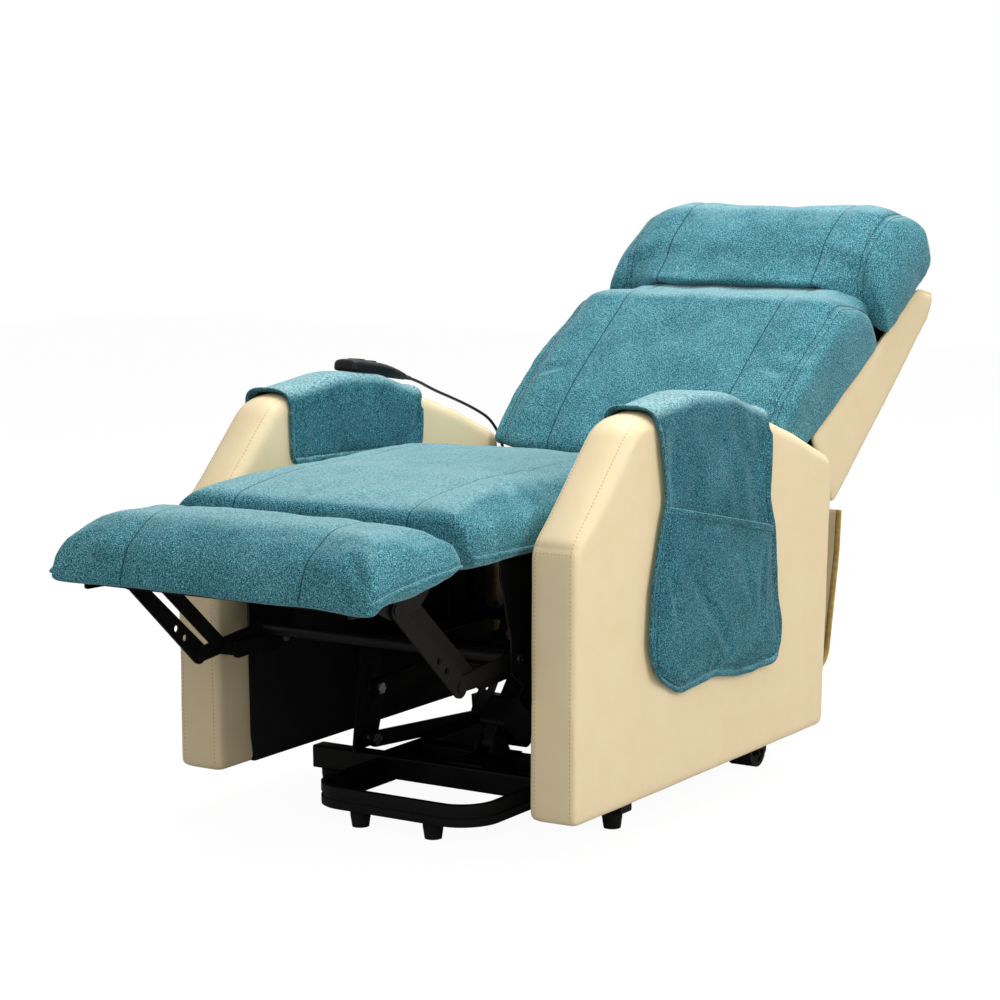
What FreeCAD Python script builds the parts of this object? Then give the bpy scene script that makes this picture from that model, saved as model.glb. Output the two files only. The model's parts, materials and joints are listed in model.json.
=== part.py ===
import FreeCAD, Part
import math
import os

# Riser recliner: lifting base, sliding seat, reclining back, folding footrest
# Millimetres. The floor is z = 0, the chair faces -Y and X = 0 is its middle plane.
# The pose is lift down, back reclined and footrest out.

V = FreeCAD.Vector
X_AXIS = V(1, 0, 0)
Y_AXIS = V(0, 1, 0)
Z_AXIS = V(0, 0, 1)

# Whole chair
shift = V(-5.625, -110.7, 0.0)  # puts the middle of the rest box's floor at the origin
run_fit = 0.05               # radial clearance of a running pin
slide_fit = 0.1              # clearance of a sliding block on each side
pin_r = 5.0
wall = 2.0

# Pivots of the lift, (y, z)
lower_base = (-99.0, 72.0)
upper_base = (-79.0, 147.0)
lower_bracket = (197.6, 48.9)
upper_bracket = (280.0, 170.0)
motor_pivot = (-59.0, 80.0)
rod_eye = (156.2, 329.9)
lift_drift = 1.62            # play that the constant-ratio hinge needs at the open end
rod_drift = 4.51

# Pivots of the back
back_hinge = (390.0, 425.0)
link_foot = (275.5, 325.0)
link_reach = 40.0
link_angle = 150.0
back_link_length = 142.1
back_link_angle = 56.4
back_drift = 2.0

# Pivots of the footrest
drive_pivot = (-326.0, 280.0)
control_pivot = (-285.4, 262.5)
drive_angle = 185.7
cross_reach = 100.0
knee_reach = 140.0
shin_angle = 138.0
shin_length = 190.0
control_reach = 32.0
control_bend = 25.0
foot_drift = 2.94

# Layers across the chair, X from and to
lower_link_x = (184.5, 189.5)
upper_link_x = (190.5, 195.5)
upright_x = (196.0, 200.0)
control_x = (208.5, 212.0)
inner_shin_x = (213.0, 216.5)
drive_x = (217.5, 221.0)
outer_shin_x = (222.0, 225.5)
seat_plate_x = (226.5, 229.5)
back_bracket_x = (231.0, 234.0)
back_link_x = (235.5, 238.5)
guide_x = (240.0, 262.0)
arm_x = (269.0, 345.0)
soft_x = 256.5               # half width of the seat cushion and the back shell
lumbar_x = 262.0
head_x = 267.0
pad_x = 266.0

# Heights
foot_h = 25.0
beam_top = 60.0
rail_z = (188.0, 213.0)
guide_z = (350.0, 390.0)
arm_bottom = 67.0
arm_lean = 0.3               # degrees, the arms' tops lean outward


def along(start, angle, length):
    """Point at a distance and an angle in degrees from a point, in (y, z)."""
    turn = math.radians(angle)
    return (start[0] + length * math.cos(turn), start[1] + length * math.sin(turn))


def outline(points, place):
    """Closed wire through corners; a corner's third number is its radius."""
    count = len(points)
    starts, ends, arcs = [], [], []
    for i in range(count):
        here = place(points[i][0], points[i][1])
        before = place(points[i - 1][0], points[i - 1][1])
        after = place(points[(i + 1) % count][0], points[(i + 1) % count][1])
        radius = points[i][2] if len(points[i]) > 2 else 0.0
        if radius == 0.0:
            starts.append(here)
            ends.append(here)
            arcs.append(None)
            continue
        back = (before - here).normalize()
        ahead = (after - here).normalize()
        half = back.getAngle(ahead) / 2.0
        reach = radius / math.tan(half)
        bisector = (back + ahead).normalize()
        starts.append(here + back * reach)
        ends.append(here + ahead * reach)
        arcs.append(here + bisector * (radius / math.sin(half) - radius))
    edges = []
    for i in range(count):
        if (starts[i] - ends[i - 1]).Length > 1e-6:
            edges.append(Part.makeLine(ends[i - 1], starts[i]))
        if arcs[i] is not None:
            edges.append(Part.Arc(starts[i], arcs[i], ends[i]).toShape())
    return Part.Wire(edges)


def prism(points, x0, x1):
    """Solid between two X planes from an outline in (y, z)."""
    wire = outline(points, lambda y, z: V(x0, y, z))
    return Part.Face(wire).extrude(V(x1 - x0, 0, 0))


def slab(points, z0, z1):
    """Solid between two heights from an outline in (x, y)."""
    wire = outline(points, lambda x, y: V(x, y, z0))
    return Part.Face(wire).extrude(V(0, 0, z1 - z0))


def front_prism(points, y0, y1):
    """Solid between two Y planes from an outline in (x, z)."""
    wire = outline(points, lambda x, z: V(x, y0, z))
    return Part.Face(wire).extrude(V(0, y1 - y0, 0))


def block(x0, x1, y0, y1, z0, z1):
    """Box from its limits."""
    return Part.makeBox(x1 - x0, y1 - y0, z1 - z0, V(x0, y0, z0))


def disc(centre, radius, x0, x1):
    """Cylinder along X about a pivot."""
    return Part.makeCylinder(radius, x1 - x0, V(x0, centre[0], centre[1]), X_AXIS)


def bar(start, end, half, x0, x1, end_half=None):
    """Link plate with round ends, wider at one end when asked."""
    last = half if end_half is None else end_half
    dy = end[0] - start[0]
    dz = end[1] - start[1]
    length = math.hypot(dy, dz)
    tilt = math.asin((half - last) / length)
    base = math.atan2(dz, dy)
    sides = []
    for side in (1.0, -1.0):
        turn = base + side * (math.pi / 2.0 - tilt)
        normal = (math.cos(turn), math.sin(turn))
        sides.append(((start[0] + half * normal[0], start[1] + half * normal[1]),
                      (end[0] + last * normal[0], end[1] + last * normal[1])))
    (a, b), (d, c) = sides
    tip = (end[0] + last * math.cos(base), end[1] + last * math.sin(base))
    tail = (start[0] - half * math.cos(base), start[1] - half * math.sin(base))
    edges = [
        Part.makeLine(V(x0, *a), V(x0, *b)),
        Part.Arc(V(x0, *b), V(x0, *tip), V(x0, *c)).toShape(),
        Part.makeLine(V(x0, *c), V(x0, *d)),
        Part.Arc(V(x0, *d), V(x0, *tail), V(x0, *a)).toShape(),
    ]
    return Part.Face(Part.Wire(edges)).extrude(V(x1 - x0, 0, 0))


def tube_x(centre, radius, x0, x1, thick=wall):
    """Round tube along X."""
    return disc(centre, radius, x0, x1).cut(disc(centre, radius - thick, x0 - 1, x1 + 1))


def box_tube(axis, x0, x1, y0, y1, z0, z1, thick=wall, corner=3.0):
    """Square tube along X, Y or Z with rounded long edges."""
    outer = block(x0, x1, y0, y1, z0, z1)
    direction = {"x": X_AXIS, "y": Y_AXIS, "z": Z_AXIS}[axis]
    long_edges = [e for e in outer.Edges
                  if abs(abs(e.tangentAt(e.FirstParameter).dot(direction)) - 1.0) < 1e-6]
    outer = outer.makeFillet(corner, long_edges)
    ends = {"x": (-1, 1, thick, -thick, thick, -thick),
            "y": (thick, -thick, -1, 1, thick, -thick),
            "z": (thick, -thick, thick, -thick, -1, 1)}[axis]
    inner = block(x0 + ends[0], x1 + ends[1], y0 + ends[2], y1 + ends[3],
                  z0 + ends[4], z1 + ends[5])
    return outer.cut(inner)


def hex_head(centre, across, x0, x1):
    """Hexagon bolt head or nut along X, by its width across flats."""
    corner = across / math.sqrt(3.0)
    points = [along(centre, 60.0 * i, corner) for i in range(6)]
    return prism([(y, z) for y, z in points], x0, x1)


def mirrored(shape):
    """The same piece on the other side of the chair."""
    return shape.mirror(V(0, 0, 0), X_AXIS)


def pair(*shapes):
    """Each solid with its mirror image."""
    return list(shapes) + [mirrored(s) for s in shapes]


def round_ends(shape, half, radius):
    """Rounds a cushion's outline edges in the planes X = +half and X = -half."""
    rims = [e for e in shape.Edges
            if abs(e.BoundBox.XMax - e.BoundBox.XMin) < 1e-6
            and abs(abs(e.BoundBox.XMax) - half) < 1e-6]
    return shape.makeFillet(radius, rims)


def lean(shape):
    """Leans a left-hand piece outward with its arm."""
    copy = shape.copy()
    copy.rotate(V(arm_x[0], 0, arm_bottom), Y_AXIS, arm_lean)
    return copy


def save(name, solids):
    """Moves a node to the shared origin and writes it."""
    solids = solids if isinstance(solids, list) else [solids]
    made = Part.makeCompound(solids) if len(solids) > 1 else solids[0]
    made = made.copy()
    made.translate(shift)
    made.exportStep("parts/" + name + ".step")
    box = made.BoundBox
    print("%-22s %2d %10.0f mm3  x %7.2f %7.2f  y %7.2f %7.2f  z %6.1f %6.1f" % (
        name, len(made.Solids), made.Volume, box.XMin, box.XMax, box.YMin, box.YMax,
        box.ZMin, box.ZMax))


os.makedirs("parts", exist_ok=True)

# Base beams and rails
front_y = (-140.0, -110.0)
middle_y = (-45.0, -15.0)
rear_y = (285.0, 315.0)
front_half = 276.0
rear_half = 211.0
side_x = (137.0, 163.0)

front_beam = box_tube("x", -front_half, front_half, front_y[0], front_y[1], foot_h, beam_top)
caps = [block(side * front_half - 4.0, side * front_half + 4.0, front_y[0] + wall,
              front_y[1] - wall, foot_h + wall, beam_top - wall) for side in (-1, 1)]
caps = [c.common(block(-front_half, front_half, -500, 500, 0, 100)) for c in caps]
save("base_front_beam", front_beam.fuse(caps).removeSplitter())
save("base_middle_beam", box_tube("x", -side_x[0], side_x[0], middle_y[0], middle_y[1],
                                  foot_h, beam_top))
save("base_rear_beam", box_tube("x", -rear_half, rear_half, rear_y[0], rear_y[1],
                                foot_h, beam_top))
save("base_side_rails", pair(box_tube("y", side_x[0], side_x[1], front_y[1], rear_y[0],
                                      foot_h, beam_top)))

# Front foot loop: an upright band with a groove and an inner flange
loop_half = 150.0
loop_front = -325.0
loop_corner = 60.0
band_t = 9.0
flange_w = 30.0
loop_top = 57.0


def loop_area(inset, z0, z1):
    """The loop's U outline moved inward, as a solid between two heights."""
    half = loop_half - inset
    front = loop_front + inset
    corner = loop_corner - inset
    return slab([(-half, front_y[0]), (-half, front, corner), (half, front, corner),
                 (half, front_y[0])], z0, z1)


loop = loop_area(0.0, foot_h, loop_top).cut(loop_area(band_t, foot_h - 1, loop_top + 1))
flange = loop_area(0.0, foot_h, foot_h + 4).cut(loop_area(flange_w, foot_h - 1, foot_h + 5))
groove = loop_area(-1.0, 37.0, 44.0).cut(loop_area(2.5, 36.0, 45.0))
save("front_loop", loop.fuse(flange).cut(groove).removeSplitter())

# Rubber feet
foot_top_r = 15.0
foot_bottom_r = 12.5
feet = []
for x, y in ((252.0, -125.0), (-252.0, -125.0), (64.0, -305.0), (-64.0, -305.0)):
    lower = Part.makeCone(foot_bottom_r, foot_top_r, 17.0, V(x, y, 0), Z_AXIS)
    upper = Part.makeCylinder(foot_top_r, foot_h - 17.0, V(x, y, 17.0), Z_AXIS)
    feet.append(lower.fuse(upper).removeSplitter())
save("rubber_feet", feet)

# Leaning uprights
tie_centre = (-94.0, 230.0)
tie_r = 12.5
upright = prism([(-141.0, beam_top), (-84.0, beam_top), (-70.0, 100.0, 30), (-61.0, 150.0, 18),
                 (-76.0, 247.0, 14), (-112.0, 247.0, 14)], upright_x[0], upright_x[1])
upright = upright.cut(disc(lower_base, pin_r, 190, 210)).cut(disc(upper_base, pin_r, 190, 210))
slot = bar((-103.0, 120.0), (-99.0, 180.0), 8.0, 190, 210)
save("base_uprights", pair(upright.cut(slot)))
save("upright_tie_tube", tube_x(tie_centre, tie_r, -upright_x[0], upright_x[0]))

# Bolts of the lower and upper base pivots
bolts = []
for centre, inner in ((lower_base, lower_link_x[0]), (upper_base, upper_link_x[0])):
    shank = disc(centre, pin_r, inner - 5.0, upright_x[1] + 4.0)
    head = hex_head(centre, 16.0, upright_x[1], upright_x[1] + 4.0)
    nut = hex_head(centre, 16.0, inner - 5.0, inner - 0.3)
    bolt = shank.fuse([head, nut])
    if inner == lower_link_x[0]:
        bolt = bolt.fuse(disc(centre, 8.0, lower_link_x[1] + 0.3, upright_x[0]))
    bolts.append(bolt.removeSplitter())
save("base_pivot_bolts", pair(*bolts))

# Motor bracket on the front and middle beams
ear_x = (12.0, 16.0)
ear = prism([(-112.0, beam_top), (-28.0, beam_top), (-40.0, 82.0, 10), (-47.0, 93.0, 8),
             (-71.0, 93.0, 8), (-84.0, 70.0, 10)], ear_x[0], ear_x[1])
floor_plate = block(-30.0, 30.0, -130.0, -20.0, beam_top, beam_top + 3.0)
motor_pin = disc(motor_pivot, pin_r, -ear_x[1] - 3.0, ear_x[1] + 3.0)
save("motor_bracket", floor_plate.fuse([ear, mirrored(ear), motor_pin]).removeSplitter())

# Wheel forks and wheels
wheel_r = 25.0
wheel_width = 42.0
wheel_gap = 4.0
fork_t = 4.0
fork_inner_x = (rear_half, rear_half + fork_t)
wheel_x = (fork_inner_x[1] + wheel_gap, fork_inner_x[1] + wheel_gap + wheel_width)
fork_outer_x = (wheel_x[1] + wheel_gap, wheel_x[1] + wheel_gap + fork_t)
axle_end = fork_outer_x[1] + 3.0
axle_y = 300.0
axle_r = 4.0
fork_side = [(axle_y - 16.0, beam_top), (axle_y - 12.0, 20.0, 8), (axle_y + 12.0, 20.0, 8),
             (axle_y + 16.0, beam_top)]
fork = block(rear_half, fork_outer_x[1], axle_y - 16.0, axle_y + 16.0, beam_top - 3.0, beam_top)
fork = fork.fuse([prism(fork_side, *fork_inner_x), prism(fork_side, *fork_outer_x),
                  disc((axle_y, wheel_r), axle_r, rear_half, axle_end)]).removeSplitter()
save("wheel_forks", pair(fork))

wheel = disc((axle_y, wheel_r), wheel_r, wheel_x[0], wheel_x[1])
for groove_x in (wheel_x[0] + 9.0, wheel_x[0] + 19.0, wheel_x[0] + 29.0):
    ring = disc((axle_y, wheel_r), wheel_r + 1, groove_x, groove_x + 4.0)
    wheel = wheel.cut(ring.cut(disc((axle_y, wheel_r), wheel_r - 1.5, groove_x - 1, groove_x + 5)))
for rim_x in (wheel_x[0], wheel_x[1] - 4.0):
    dish = disc((axle_y, wheel_r), 18.0, rim_x, rim_x + 4.0)
    wheel = wheel.cut(dish.cut(disc((axle_y, wheel_r), 9.0, rim_x - 1, rim_x + 5)))
wheel = wheel.cut(disc((axle_y, wheel_r), axle_r + run_fit, wheel_x[0] - 10.0,
                       wheel_x[1] + 10.0))
save("rear_wheel_left", wheel)
save("rear_wheel_right", mirrored(wheel))

# Upper lift links with the torque tube
torque_share = 0.61
torque_centre = (upper_base[0] + torque_share * (upper_bracket[0] - upper_base[0]),
                 upper_base[1] + torque_share * (upper_bracket[1] - upper_base[1]))
torque_r = 14.0
upper_link = bar(upper_base, upper_bracket, 14.0, upper_link_x[0], upper_link_x[1])
for centre in (upper_base, upper_bracket):
    upper_link = upper_link.cut(disc(centre, pin_r + run_fit, 180, 200))
save("lift_links_upper", pair(upper_link))
save("lift_torque_tube", tube_x(torque_centre, torque_r, -upper_link_x[0], upper_link_x[0]))

# Lower lift links
lower_link = bar(lower_base, lower_bracket, 12.5, lower_link_x[0], lower_link_x[1])
lower_link = lower_link.cut(disc(lower_base, pin_r + run_fit, 180, 200))
lower_link = lower_link.cut(disc(lower_bracket, pin_r + lift_drift + 0.4, 180, 200))
save("lift_links_lower", pair(lower_link))

# Lift motor, built along +Y from its pivot and then turned
motor_length = math.hypot(rod_eye[0] - motor_pivot[0], rod_eye[1] - motor_pivot[1])
motor_turn = math.degrees(math.atan2(rod_eye[1] - motor_pivot[1], rod_eye[0] - motor_pivot[0]))
rod_r = 10.0
outer_r = 15.0


def aim(shape):
    """Places a shape made along +Y from the origin onto the lift motor's line."""
    shape.rotate(V(0, 0, 0), X_AXIS, motor_turn)
    shape.translate(V(0, motor_pivot[0], motor_pivot[1]))
    return shape


def motor_body(tube_end, bore_start):
    """Linear motor along +Y: rear eye, gearbox, motor can below and outer tube."""
    tongue = bar((0, 0), (30.0, 0), 11.0, -10.0, 10.0, 16.0)
    gearbox = prism([(22.0, 19.0, 8), (74.0, 19.0, 8), (74.0, -40.0, 10), (84.0, -66.0, 8),
                     (26.0, -66.0, 16)], -22.0, 22.0)
    can = Part.makeCylinder(23.0, 92.0, V(0, 74.0, -43.0), Y_AXIS)
    sleeve = Part.makeCylinder(outer_r, tube_end - 60.0, V(0, 60.0, 0), Y_AXIS)
    collar = Part.makeCylinder(outer_r + 2.5, 16.0, V(0, tube_end - 16.0, 0), Y_AXIS)
    body = tongue.fuse([gearbox, can, sleeve, collar])
    bore = Part.makeCylinder(rod_r + run_fit, tube_end, V(0, bore_start, 0), Y_AXIS)
    return body.cut(bore).cut(disc((0, 0), pin_r + run_fit, -20, 20)).removeSplitter()


save("lift_motor_housing", aim(motor_body(292.0, 100.0)))
inlet = Part.makeCylinder(8.0, 14.0, V(-22.0, 48.0, -44.0), V(-1, 0, 0))
inlet = inlet.cut(Part.makeCylinder(5.5, 10.0, V(-26.0, 48.0, -44.0), V(-1, 0, 0)))
save("power_inlet", aim(inlet))

# Lift rod with its eye
eye_r = 17.0
eye_bore = pin_r + rod_drift + 0.5
rod = Part.makeCylinder(rod_r, motor_length - 110.0 - eye_r + 4.0, V(0, 110.0, 0), Y_AXIS)
rod_head = disc((motor_length, 0), eye_r, -10.0, 10.0)
rod = rod.fuse(rod_head).cut(disc((motor_length, 0), eye_bore, -20, 20)).removeSplitter()
save("lift_rod", aim(rod))

# Lift brackets of the chair with their pins
rear_tube = (300.0, 200.0)
tube_r = 12.5
bracket = prism([(278.0, 222.0, 8), (322.0, 222.0, 8), (322.0, 180.0, 8), (298.0, 150.0, 20),
                 (216.0, 38.0, 14), (192.0, 30.0, 12), (178.0, 44.0, 12), (182.0, 62.0, 14),
                 (262.0, 170.0, 20)], upright_x[0], upright_x[1])
bracket = bracket.cut(disc(rear_tube, tube_r, 190, 210))
bracket = bracket.cut(bar((226.0, 92.0), (246.0, 119.0), 7.0, 190, 210))
for centre in (lower_bracket, upper_bracket):
    bracket = bracket.cut(disc(centre, pin_r, 190, 210))
save("lift_brackets", pair(bracket))
pins = []
for centre, inner in ((lower_bracket, lower_link_x), (upper_bracket, upper_link_x)):
    pin = disc(centre, pin_r, inner[0] - 3.0, upright_x[1] + 3.0)
    pin = pin.fuse([disc(centre, 9.0, inner[0] - 3.0, inner[0] - 0.3),
                    disc(centre, 8.0, upright_x[1], upright_x[1] + 3.0)])
    if inner == lower_link_x:
        pin = pin.fuse(disc(centre, 8.0, inner[1] + 0.3, upright_x[0]))
    pins.append(pin.removeSplitter())
save("lift_bracket_pins", pair(*pins))

# Cross tubes, rails and posts of the chair's frame
motor_tube = (196.0, 334.0)
post_y = (-20.0, 196.0, 276.0)
post_half = 14.0
rail_y = (-44.0, 322.0)


def outer_side():
    """The space from the leaning inner face of the arm outward."""
    return lean(block(arm_x[0], 500.0, -600.0, 600.0, -100.0, 900.0))


front_ears = []
for x in (-16.0, 12.0):
    front_ears.append(bar(motor_tube, rod_eye, 15.0, x, x + 4.0, 10.0))
front_ears.append(disc(rod_eye, pin_r, -19.0, 19.0))
recline_pin = (188.0, 372.0)
recline_x = 90.0
for x in (recline_x - 15.0, recline_x + 11.0):
    front_ears.append(bar(motor_tube, recline_pin, 14.0, x, x + 4.0, 9.0))
front_ears.append(disc(recline_pin, pin_r, recline_x - 18.0, recline_x + 18.0))
front_tube = disc(motor_tube, tube_r, -guide_x[0], guide_x[0]).fuse(front_ears)
front_tube = front_tube.cut(disc(motor_tube, tube_r - wall, -300, 300))
save("chassis_front_tube", front_tube.removeSplitter())
rail_inner = 237.0
save("chassis_rear_tube", tube_x(rear_tube, tube_r, -rail_inner, rail_inner))
side_rail = box_tube("y", rail_inner, rail_inner + 25.0, rail_y[0], rail_y[1],
                     rail_z[0], rail_z[1])
pads = [block(rail_inner + 24.9, 290.0, y - 25.0, y + 25.0, rail_z[0] + 3, rail_z[1] - 3)
        for y in (20.0, 240.0)]
save("side_rails", pair(side_rail.fuse([p.cut(outer_side()) for p in pads]).removeSplitter()))
posts = []
for y in post_y:
    post = box_tube("z", guide_x[0], guide_x[1], y - post_half, y + post_half,
                    rail_z[1], guide_z[0])
    if y == post_y[2]:
        stud = disc(link_foot, pin_r, back_link_x[0] - 2.2, guide_x[0] + 2.0)
        stud = stud.fuse([disc(link_foot, 8.0, back_link_x[0] - 2.2, back_link_x[0] - 0.3),
                          disc(link_foot, 8.0, back_link_x[1] + 0.3, guide_x[0])])
        post = post.fuse(stud)
    posts.append(post.removeSplitter())
save("side_posts", pair(*posts))

# Guide rails: channels open toward the seat
lip = 8.0
guide_t = 3.0
slot_z = (guide_z[0] + guide_t + lip, guide_z[1] - guide_t - lip)
guide_y = (-44.0, 302.0)
channel = block(guide_x[0], guide_x[1], guide_y[0], guide_y[1], guide_z[0], guide_z[1])
channel = channel.cut(block(guide_x[0] + guide_t, guide_x[1] - guide_t, -900, 900,
                            guide_z[0] + guide_t, guide_z[1] - guide_t))
channel = channel.cut(block(guide_x[0] - 1, guide_x[0] + 5, -900, 900, slot_z[0], slot_z[1]))
spacers = [block(guide_x[1] - 0.1, 290.0, y - 15, y + 15, 358, 382).cut(outer_side())
           for y in (0.0, 240.0)]
save("guide_rails", pair(channel.fuse(spacers).removeSplitter()))

# Arms
arm_points = [(-372.0, 67.0, 10), (-366.0, 447.0, 30), (-212.0, 599.0, 80), (-40.0, 618.5, 260),
              (60.0, 607.0, 100), (148.0, 577.0, 300), (267.0, 537.0, 300), (388.0, 487.0, 26), (357.0, 67.0, 10)]
panel_points = [(-300, 67, 50), (-298, 436, 30), (318, 436, 30), (296, 67, 12)]
panel_t = 4.0
arm_edge = 7.0


def arm_block(grow):
    """The arm's full outline, grown outward by a thickness."""
    wire = outline(arm_points, lambda y, z: V(arm_x[0] - grow, y, z))
    if grow:
        wire = wire.makeOffset2D(grow)
    return Part.Face(wire).extrude(V(arm_x[1] - arm_x[0] + 2 * grow, 0, 0))


arm = arm_block(0.0)
rims = [e for e in arm.Edges if abs(e.BoundBox.XMax - e.BoundBox.XMin) < 1e-6]
arm = arm.makeFillet(arm_edge, rims)
panel = prism(panel_points, arm_x[0], arm_x[0] + panel_t)
arm = lean(arm.cut(panel))
save("arm_left", arm)
save("arm_right", mirrored(arm))
save("arm_inner_panels", pair(lean(panel)))

# Arm covers: cloth over the arms' tops, longer outside on the left with a pocket
cloth_t = 4.0
cloth_gap = 0.4
cloth = arm_block(cloth_gap + cloth_t).cut(arm_block(cloth_gap))
split_x = 307.0
left_outer = prism([(-172.0, 660.0), (-166.0, 592.0, 60), (-146.0, 485.0, 40),
                    (-160.0, 452.0, 40), (-187.0, 365.0, 120), (-194.0, 282.0, 70),
                    (-171.0, 236.0, 30), (-108.0, 204.0, 30), (-12.0, 211.0, 60),
                    (63.0, 199.0, 60), (186.0, 200.0, 24), (197.0, 228.0, 25),
                    (181.0, 292.0, 90), (174.0, 410.0, 90), (162.0, 450.0, 50),
                    (168.0, 660.0)], split_x, 400.0)
left_inner = prism([(-172.0, 660.0), (-166.0, 500.0, 20), (150.0, 488.0, 20),
                    (168.0, 660.0)], 230.0, split_x)
left_cover = cloth.common(left_outer.fuse(left_inner)).removeSplitter()
save("arm_cover_left", lean(left_cover))
right_outer = prism([(-192.0, 660.0), (-186.0, 470.0, 20), (151.0, 470.0, 20),
                     (160.0, 660.0)], split_x, 400.0)
right_inner = prism([(-192.0, 660.0), (-188.0, 500.0, 20), (149.0, 486.0, 20),
                     (160.0, 660.0)], 230.0, split_x)
right_cover = cloth.common(right_outer.fuse(right_inner)).removeSplitter()
save("arm_cover_right", mirrored(lean(right_cover)))

pocket_x = arm_x[1] + cloth_gap + cloth_t
pocket_deep = 9.0
pocket_outer = prism([(-142.0, 476.0), (-150.0, 440.0, 30), (-177.0, 365.0, 110),
                      (-184.0, 284.0, 62), (-164.0, 243.0, 25), (-106.0, 213.0, 25),
                      (-12.0, 220.0, 60), (63.0, 208.0, 60), (180.0, 209.0, 20),
                      (188.0, 230.0, 20), (172.0, 292.0, 80), (168.0, 408.0),
                      (-40.0, 453.0, 90)], pocket_x, pocket_x + pocket_deep + 3.0)
pocket_inner = prism([(-122.0, 520.0), (-140.0, 440.0, 30), (-165.0, 365.0, 100),
                      (-172.0, 290.0, 50), (-154.0, 252.0, 20), (-104.0, 224.0, 20),
                      (-12.0, 231.0, 60), (63.0, 219.0, 60), (170.0, 220.0, 14),
                      (176.0, 234.0, 14), (161.0, 292.0, 70), (154.0, 500.0)],
                     pocket_x - 1.0, pocket_x + pocket_deep)
save("cover_pocket", lean(pocket_outer.cut(pocket_inner).removeSplitter()))

# Recline motor and rod
recline_z = recline_pin[1]
recline_turn = V(recline_x, recline_pin[0], recline_z)
recline = motor_body(178.0, 90.0)
recline.rotate(V(0, 0, 0), Z_AXIS, 180.0)
recline.translate(recline_turn)
save("recline_motor", recline)
seat_tubes = ((-70.0, 372.0), (340.0, 387.0))
clamp_r = 17.0
recline_rod = Part.makeCylinder(rod_r, 114.0, V(recline_x, seat_tubes[0][0] + 14.0, recline_z),
                                Y_AXIS)
clamp = disc(seat_tubes[0], clamp_r, recline_x - 10.0, recline_x + 10.0)
recline_rod = recline_rod.fuse(clamp).cut(disc(seat_tubes[0], tube_r, 0, 200)).removeSplitter()
save("recline_rod", recline_rod)

# Handset on the right cover, built in the left arm's frame; it rests on the bend of the arm's top
handset_tilt = -10.0
handset_x = 303.0
case_z = cloth_gap + cloth_t + 0.3
handset_start = along(arm_points[4][:2], 180.0 + handset_tilt, 90.0)


def on_arm_top(shape):
    """Moves a shape made along +Y from the origin onto the arm's sloping top."""
    shape.rotate(V(0, 0, 0), X_AXIS, handset_tilt)
    shape.translate(V(handset_x, handset_start[0], handset_start[1]))
    return lean(shape)


case_side = prism([(26.0, case_z, 3), (24.0, case_z + 13.0, 5), (42.0, case_z + 21.0, 12),
                   (112.0, case_z + 21.0, 40), (160.0, case_z + 14.0, 20),
                   (186.0, case_z + 11.0, 3), (186.0, case_z + 3.0, 3),
                   (178.0, case_z, 3)], -26.0, 26.0)
case_plan = slab([(-24.0, 20.0, 7), (24.0, 20.0, 7), (25.0, 100.0, 60), (21.0, 138.0, 40),
                  (8.0, 164.0, 30), (6.0, 186.0), (-6.0, 186.0), (-8.0, 164.0, 30),
                  (-21.0, 138.0, 40), (-25.0, 100.0, 60)], 0.0, 60.0)
case = case_side.common(case_plan)
button_y = {"up": 58.0, "down": 88.0}
button_top = case_z + 22.5
button_size = (13.0, 9.0)
press = 1.0
button_fit = 0.15


def button(y, grow, z0, z1):
    """A button's rounded outline between two levels."""
    half_x = button_size[0] + grow
    half_y = button_size[1] + grow
    return slab([(-half_x, y - half_y, 6), (half_x, y - half_y, 6), (half_x, y + half_y, 6),
                 (-half_x, y + half_y, 6)], z0, z1)


for name in sorted(button_y):
    case = case.cut(button(button_y[name], button_fit, case_z + 14.0, case_z + 60.0))
save("handset_case", mirrored(on_arm_top(case.removeSplitter())))
for name in sorted(button_y):
    key = button(button_y[name], 0.0, case_z + 15.5, button_top)
    save("button_" + name, mirrored(on_arm_top(key)))

# Handset cord: straight runs joined by tangent arcs
cord_r = 2.5
cord_points = [(-305.8, 157.3, 600.5), (-305.8, 192.0, 591.5), (-305.6, 240.0, 571.0),
               (-305.3, 300.0, 550.5), (-305.0, 358.0, 528.5), (-304.6, 408.0, 505.0),
               (-304.2, 441.0, 463.0), (-303.8, 449.0, 408.0), (-303.4, 444.0, 350.0),
               (-303.0, 431.0, 295.0), (-302.6, 414.0, 243.0), (-302.2, 396.0, 195.0),
               (-301.8, 381.0, 158.0), (-301.5, 363.6, 141.0)]


def rounded_path(points):
    """Wire of straight runs with an arc tangent to both at each inner point."""
    nodes = [V(*p) for p in points]
    edges = []
    last = nodes[0]
    for i in range(1, len(nodes) - 1):
        back = (nodes[i - 1] - nodes[i])
        ahead = (nodes[i + 1] - nodes[i])
        half_turn = (math.pi - back.getAngle(ahead)) / 2.0
        reach = 0.45 * min(back.Length, ahead.Length)
        radius = reach / math.tan(half_turn)
        back.normalize()
        ahead.normalize()
        start = nodes[i] + back * reach
        end = nodes[i] + ahead * reach
        middle = (back + ahead).normalize()
        depth = radius / math.cos(half_turn) - radius
        edges.append(Part.makeLine(last, start))
        edges.append(Part.Arc(start, nodes[i] + middle * depth, end).toShape())
        last = end
        print("cord arc %2d radius %6.1f" % (i, radius))
    edges.append(Part.makeLine(last, nodes[-1]))
    return Part.Wire(edges)


path = rounded_path(cord_points)
first = V(*cord_points[1]) - V(*cord_points[0])
section = Part.Wire([Part.makeCircle(cord_r, V(*cord_points[0]), first)])
cord = path.makePipeShell([section], True, False)
print("cord length %.1f  volume over section x length %.4f" % (
    path.Length, cord.Volume / (math.pi * cord_r ** 2 * path.Length)))
save("handset_cord", cord)

# Seat side plates
cushion_slope = -16.9 / 641.0


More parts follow.
